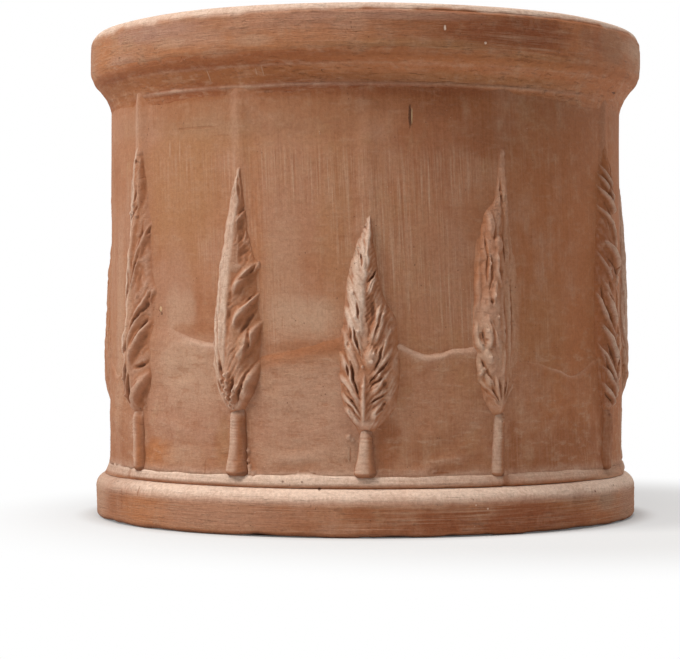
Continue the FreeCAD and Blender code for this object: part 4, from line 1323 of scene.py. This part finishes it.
def makeFoliage(shape, number):
    form, side = treeForms[number - 1], sideRelief.get(number, plainRelief)
    neck = neckHeights[(number - 1) % 4]
    rows, spine = np.array(form["outline"], float), np.array(form["ridge"], float)
    tip = rows[-1, 0]
    low, top = neck - shape["below"], tip + shape["above"]
    upward = np.linspace(low, top, int((top - low) / shape["pitch"]))[:, None]
    left = blurred(np.interp(upward, rows[:, 0], rows[:, 1]), 5)
    right = blurred(np.interp(upward, rows[:, 0], rows[:, 2]), 5)
    ridge = blurred(np.interp(upward, spine[:, 0], spine[:, 1]), 6)
    peak = blurred(np.interp(upward, spine[:, 0], spine[:, 2]), 6)
    gone = ease(upward, tip - 2, tip + 6)
    share = np.linspace(-1, 1, shape["columns"])[None, :]
    across = (left + right) / 2 + ((right - left) / 2 + shape["margin"]) * share
    plain = 0 * across
    upward = upward + plain

    # leaves wander a little from their places, more so on the copies
    seen = number in seenTrees
    leafA = across + kneaded(across, upward, shape["wander" if seen else "copyWander"], number)
    leafU = upward + kneaded(across, upward, shape["climb" if seen else "copyClimb"], number)

    # the crown falls from its ridge to both edges
    onRight = leafA > ridge
    rightward = (leafA - ridge) / np.maximum(right - ridge, 1)
    leftward = (ridge - leafA) / np.maximum(ridge - left, 1)
    sideways = np.where(onRight, rightward, leftward)
    (leftPower, leftRound), (rightPower, rightRound) = form["edges"]
    leftSide = np.clip(1 - sideways ** leftPower, 0, 1) ** leftRound
    rightSide = np.clip(1 - sideways ** rightPower, 0, 1) ** rightRound
    crown = shape["crown"] * peak * np.where(onRight, rightSide, leftSide) * (1 - gone)
    inside = ease(sideways, 1.12, 0.9) * (1 - gone)

    relief = form["relief"] * side["leaves"]
    pads, crumbs, cuts = plain, plain, plain
    for pad in form["pads"]:
        pads = np.maximum(pads, shape["leaf"] * relief * padRise(leafA, leafU, pad))
    pads = blurred(pads, form["soft"]) * (1 - form["tipFade"] * ease(sideways, 0.72, 1.0))
    for a, u, wide, high in form["crumbs"]:
        dome = np.clip(1 - ((leafA - a) ** 2 + (leafU - u) ** 2) / wide ** 2, 0, 1)
        crumbs = np.maximum(crumbs, high * np.sqrt(dome))
    for cut in form["cuts"]:
        cuts = np.maximum(cuts, relief * cutDepth(leafA, leafU, cut))
    cuts = blurred(cuts, form["soft"] - 1)
    for a, u, wide, high, deep in form["dimples"]:
        dip = np.clip(1 - ((leafA - a) / wide) ** 2 - ((leafU - u) / high) ** 2, 0, 1)
        cuts = np.maximum(cuts, deep * dip)
    ragged = np.clip(1 + kneaded(across, upward, shape["ragged"], number), 0.35, 1.5)
    dents = kneaded(across, upward, shape["dents"], number)

    # fine strands that lean the way the leaves do, or follow the left edge where no lean is given
    leftLean, rightLean, wave, depth = form["grain"]

    def leaned(lean):
        return ((leafA - ridge) * math.cos(lean) - leafU * math.sin(lean)) / wave

    followsEdge = leftLean is None
    leftStrand = shape["edgeStrands"] * sideways / wave if followsEdge else leaned(leftLean)
    strand = np.where(onRight, leaned(rightLean), leftStrand)
    strand = strand + kneaded(across, upward, shape["strandBend"], number)
    strand = np.abs(np.sin(math.pi * strand)) ** 0.7 - 0.65
    strand = strand * depth * np.clip(0.6 + kneaded(across, upward, shape["strandPatch"], number), 0, 1.2)
    if followsEdge:
        strand = np.where(onRight, strand, 1.7 * strand)

    body = crown + pads
    field = body - np.minimum(cuts * ragged, body * 0.85)
    field = field + strand * ease(sideways, 1.0, 0.8) * ease(np.abs(leafA - ridge), 0.5, 3)
    field = (field + side["crumbs"] * crumbs) * side["foliage"]
    field = field * (0.15 + 0.85 * ease(upward, low, neck + side["start"]))
    field = field * (1 - 0.7 * ease(upward, side["fadeFrom"], side["fadeFrom"] + 55))
    present = ease(body, 0.1, 1.0)
    onHill = shape["hillRise"] * ease(upward, *shape["hillFade"]) * present
    edge = ease(np.abs(share), *shape["rim"]) + plain
    lifted = (field + dents * present + onHill - shape["inset"]) * (1 - edge) - shape["tuck"] * edge
    angle = treeTurns[number - 1] + across / pot["drumRadius"]
    radius = wallSurface(angle, upward) + lifted

    # dirt and painted shade in what lies deep and broadly in hollows, and painted shade on slopes that drop
    # away to the right, away from the key lamp
    hollow, crest = standing(field + dents * present, 5, 1.8)
    deep = standing(field, 11, 3.6)[0]
    fallShade = np.clip(-np.gradient(blurred(field, 1), axis=1) / np.gradient(across, axis=1) - 0.25, 0, 1)
    hollow = hollow * 0.75 + cuts * 0.16 * inside + 0.2 * deep + 0.3 * fallShade
    crest = np.clip(crest * 0.8 + 0.10 * ease(field, 2.2, 7.0) * inside, 0, 1) * present * form["rub"]
    # the left flank, turned to the key lamp, is painted pale: dust and painted highlight
    pale, fromHeight, fullHeight = form["flank"]
    flank = np.where(leafA < ridge + 1, ease(sideways, 1.05, 0.6), 0) * (1 - 0.7 * ease(cuts, 0.3, 1.2))
    flank = pale * blurred(flank, 2) * (1 - gone) * ease(upward, fromHeight, fullHeight)
    marks = {"hollow": np.clip(hollow, 0, 1) * present, "crest": crest + flank}
    name, node = "cypressFoliage%02d" % number, "cypress_foliage_%02d" % number
    return reliefPiece(name, node, treeClay, angle, upward, radius, marks)


trunkShape = {
    "rise": 6.4, "bottom": 42.4, "overlap": 20, "columns": 64, "pitch": 0.6, "sharp": 60, "ringPitch": 2.4,
    "margin": 1.6, "lift": 0.7, "sink": 2.6, "rim": (0.84, 1),
    "ringBend": [(0.6, 9, 7, 320)], "ringPatch": [(0.5, 6, 8, 330)], "dents": [(0.65, 4, 6, 360)],
    "scored": [(0.16, 12, 1.3, 340)],
    # trunks that get less of the pale paint, dust and painted highlight, than the others: the third stands in
    # shade
    "rub": {3: 0.15},
    # half widths at the neck, halfway and at the foot, how much more the foot stands out,
    # and how far the rest does
    "forms": [
        (4.6, 5.2, 8.8, 1.6, 0.9), (5.0, 5.4, 6.0, 0.6, 0.66), (8.0, 8.4, 7.6, 0.2, 0.85),
        (6.4, 7.0, 9.6, 1.8, 0.95),
    ],
}


def makeTrunk(shape, number):
    side = sideRelief.get(number, plainRelief)
    neck = neckHeights[(number - 1) % 4]
    neckHalf, midHalf, footHalf, footRise, riseShare = shape["forms"][(number - 1) % 4]
    low, top = shape["bottom"] + 0.8 * math.sin(number * 1.7), neck + shape["overlap"]
    upward = np.linspace(low, top, int((top - low) / shape["pitch"]))[:, None]
    foot = np.exp(-(np.clip(upward - low - 3.5, 0, None) / 9.0) ** 1.5)
    heel = np.sqrt(1 - np.clip((low + 3.2 - upward) / 3.6, 0, 0.96) ** 2)
    half = midHalf + (neckHalf - midHalf) * ease(upward, (low + neck) / 2, neck) + (footHalf - midHalf) * foot
    half = half + 0.4 * lumps(upward / 9, 0 * upward, 300 + number)
    half = half * (0.6 + 0.4 * heel) * (1 - 0.6 * ease(upward, neck - 5, neck + 14))
    share = np.linspace(-1, 1, shape["columns"])[None, :]
    drift = 1.1 * lumps(upward / 24, 0 * upward, 310 + number)
    across = drift + share * (half + shape["margin"])
    upward = upward + 0 * across
    sideways = np.clip((across - drift) / half, -1, 1)

    # a roll of clay with finger rings and dents
    roll = (shape["rise"] + footRise * foot) * np.clip(1 - np.abs(sideways) ** 2.1, 0, 1) ** 0.6
    roll = roll * (0.3 + 0.7 * heel)
    turns = upward / shape["ringPitch"] + kneaded(across, upward, shape["ringBend"], number)
    ringed = 0.22 * np.sin(2 * math.pi * turns) * (0.5 + kneaded(across, upward, shape["ringPatch"], number))
    ringed = ringed + kneaded(across, upward, shape["scored"], number)
    dents = kneaded(across, upward, shape["dents"], number)
    field = (roll + (ringed + dents) * ease(roll, 0.5, 2.5)) * side["trunk"] * riseShare
    # it sinks under the leaves at the neck, and into the wall at its sides
    sunk = field * (1 - 0.9 * ease(upward, neck - 7, neck + 6))
    lifted = sunk + shape["lift"] - shape["sink"] * ease(np.abs(share), *shape["rim"])
    angle = treeTurns[number - 1] + across / pot["drumRadius"]
    radius = wallSurface(angle, upward) + lifted

    hollow, crest = standing(field, 3, 0.8)
    # painted shade over the trunk's right side and along its bottom end, away from the key lamp
    edges = 0.6 * ease(sideways, 0.05, 0.9) + 0.25 * ease(sideways, -0.88, -1.0)
    edges = (edges + 0.8 * ease(upward, low + 4.2, low + 1.0)) * ease(upward, neck, neck - 10)
    # painted highlight on the trunk's left side, turned to the key lamp
    lit = 0.65 * ease(sideways, 0.35, -0.2) * ease(sideways, -1.0, -0.7) * ease(upward, low + 1, low + 5)
    crest = np.clip(crest * 0.7 + lit, 0, 1) * shape["rub"].get(number, 1.0)
    marks = {"hollow": np.clip(hollow * 0.5 + edges, 0, 1), "crest": crest}
    name, node = "cypressTrunk%02d" % number, "cypress_trunk_%02d" % number
    return reliefPiece(name, node, treeClay, angle, upward, radius, marks, shape["sharp"])


for number in range(1, 13):
    makeFoliage(foliageShape, number)
    makeTrunk(trunkShape, number)
print("cypress trees made")


# floor, light and camera

stageShape = {
    "half": 6.0, "paper": 0.86, "seenPaper": 0.58, "lift": 0.50, "under": 0.1, "centre": (0.11, -0.02, 0.0),
    "clearFrom": 0.25, "clearTo": 0.47, "footFrom": 0.217, "footTo": 0.242,
}


def seenStraight(paint):
    # 1 for camera, glossy and transmission rays, 0 for the rays that light the pot
    rays = [paint.node("ShaderNodeLightPath", out="Is %s Ray" % kind)
            for kind in ("Camera", "Glossy", "Transmission")]
    return sum(rays[1:], rays[0]).calc("MINIMUM", 1.0)


def makeStage(shape):
    half = shape["half"]
    corners = [(-half, -half, 0), (half, -half, 0), (half, half, 0), (-half, half, 0)]
    mesh = bpy.data.meshes.new("paperFloor")
    mesh.from_pydata(corners, [], [(0, 1, 2, 3)])
    paper = bpy.data.materials.new("whitePaper")
    paper.use_nodes = True
    paint = Paint(paper.node_tree)
    seen = seenStraight(paint)
    place = paint.node("ShaderNodeTexCoord", out="Object")
    links = {0: place, 1: shape["centre"]}
    near = paint.node("ShaderNodeVectorMath", {"operation": "LENGTH"}, {0: place}, "Value")
    away = paint.node("ShaderNodeVectorMath", {"operation": "DISTANCE"}, links, "Value")
    # white away from the pot, with the shadow kept round its foot
    lift = paint.step(near, shape["footFrom"], shape["footTo"]) * (shape["lift"] - shape["under"])
    lift = lift + shape["under"]
    clear = paint.step(away, shape["clearFrom"], shape["clearTo"]) * (1 - shape["lift"]) + lift
    tone = paint.mix((shape["paper"],) * 3, (shape["seenPaper"],) * 3, seen)
    matt = paint.node("ShaderNodeBsdfDiffuse", None, {"Color": tone})
    glow = paint.node("ShaderNodeEmission", None, {"Color": (1.0, 1.0, 1.0), "Strength": 1.0})
    shader = paint.node("ShaderNodeMixShader", None, {0: seen * clear, 1: matt, 2: glow})
    paint.node("ShaderNodeOutputMaterial", None, {"Surface": shader})
    mesh.materials.append(paper)
    floor = bpy.data.objects.new("paperFloor", mesh)
    bpy.context.scene.collection.objects.link(floor)


skyShape = {"strength": 0.12, "tint": (1.0, 0.95, 0.90)}


def makeSky(shape):
    world = bpy.data.worlds.new("studio")
    bpy.context.scene.world = world
    world.use_nodes = True
    paint = Paint(world.node_tree)
    soft = paint.node("ShaderNodeBackground", None, {"Color": shape["tint"], "Strength": shape["strength"]})
    white = paint.node("ShaderNodeBackground", None, {"Color": (1.0, 1.0, 1.0), "Strength": 1.0})
    shader = paint.node("ShaderNodeMixShader", None, {0: seenStraight(paint), 1: soft, 2: white})
    paint.node("ShaderNodeOutputWorld", None, {"Surface": shader})


lampAim = (0, 0, 0.2)
lampShape = {
    "key": {"at": (-1.42, -0.82, 1.98), "size": 0.9, "watts": 47.0, "tint": (1.0, 0.98, 0.95)},
    "top": {"at": (0.25, -0.6, 2.5), "size": 1.2, "watts": 32.0, "tint": (1.0, 0.98, 0.96)},
    "side": {"at": (1.7, 1.1, 0.7), "size": 0.6, "watts": 11.0, "tint": (1.0, 0.96, 0.92)},
    "edge": {"at": (-1.8, 0.9, 0.7), "size": 0.6, "watts": 4.5, "tint": (1.0, 0.97, 0.93)},
}


def makeLamp(name, lamp):
    data = bpy.data.lights.new(name, "AREA")
    data.shape = "DISK"
    data.size = lamp["size"]
    data.energy = lamp["watts"]
    data.color = lamp["tint"]
    made = bpy.data.objects.new(name, data)
    made.location = lamp["at"]
    aim = bpy.data.objects.new(name + "Aim", None)
    aim.location = lampAim
    for thing in (made, aim):
        bpy.context.scene.collection.objects.link(thing)
    track = made.constraints.new("TRACK_TO")
    track.target = aim
    track.track_axis, track.up_axis = "TRACK_NEGATIVE_Z", "UP_Y"


cameraShape = {"at": (0.0, -1.750, 0.155), "lens": 112.29, "sensor": 36.0, "shift": (-0.0375, -0.0081)}


def makeCamera(shape):
    data = bpy.data.cameras.new("camera")
    data.sensor_width = shape["sensor"]
    data.lens = shape["lens"]
    data.shift_x, data.shift_y = shape["shift"]
    camera = bpy.data.objects.new("camera", data)
    camera.location = shape["at"]
    camera.rotation_euler = (math.radians(90), 0, 0)
    bpy.context.scene.collection.objects.link(camera)
    bpy.context.scene.camera = camera


makeStage(stageShape)
makeSky(skyShape)
for name, lamp in lampShape.items():
    makeLamp(name, lamp)
makeCamera(cameraShape)
bpy.context.scene.view_settings.view_transform = "Standard"
print("stage, lamps and camera made")
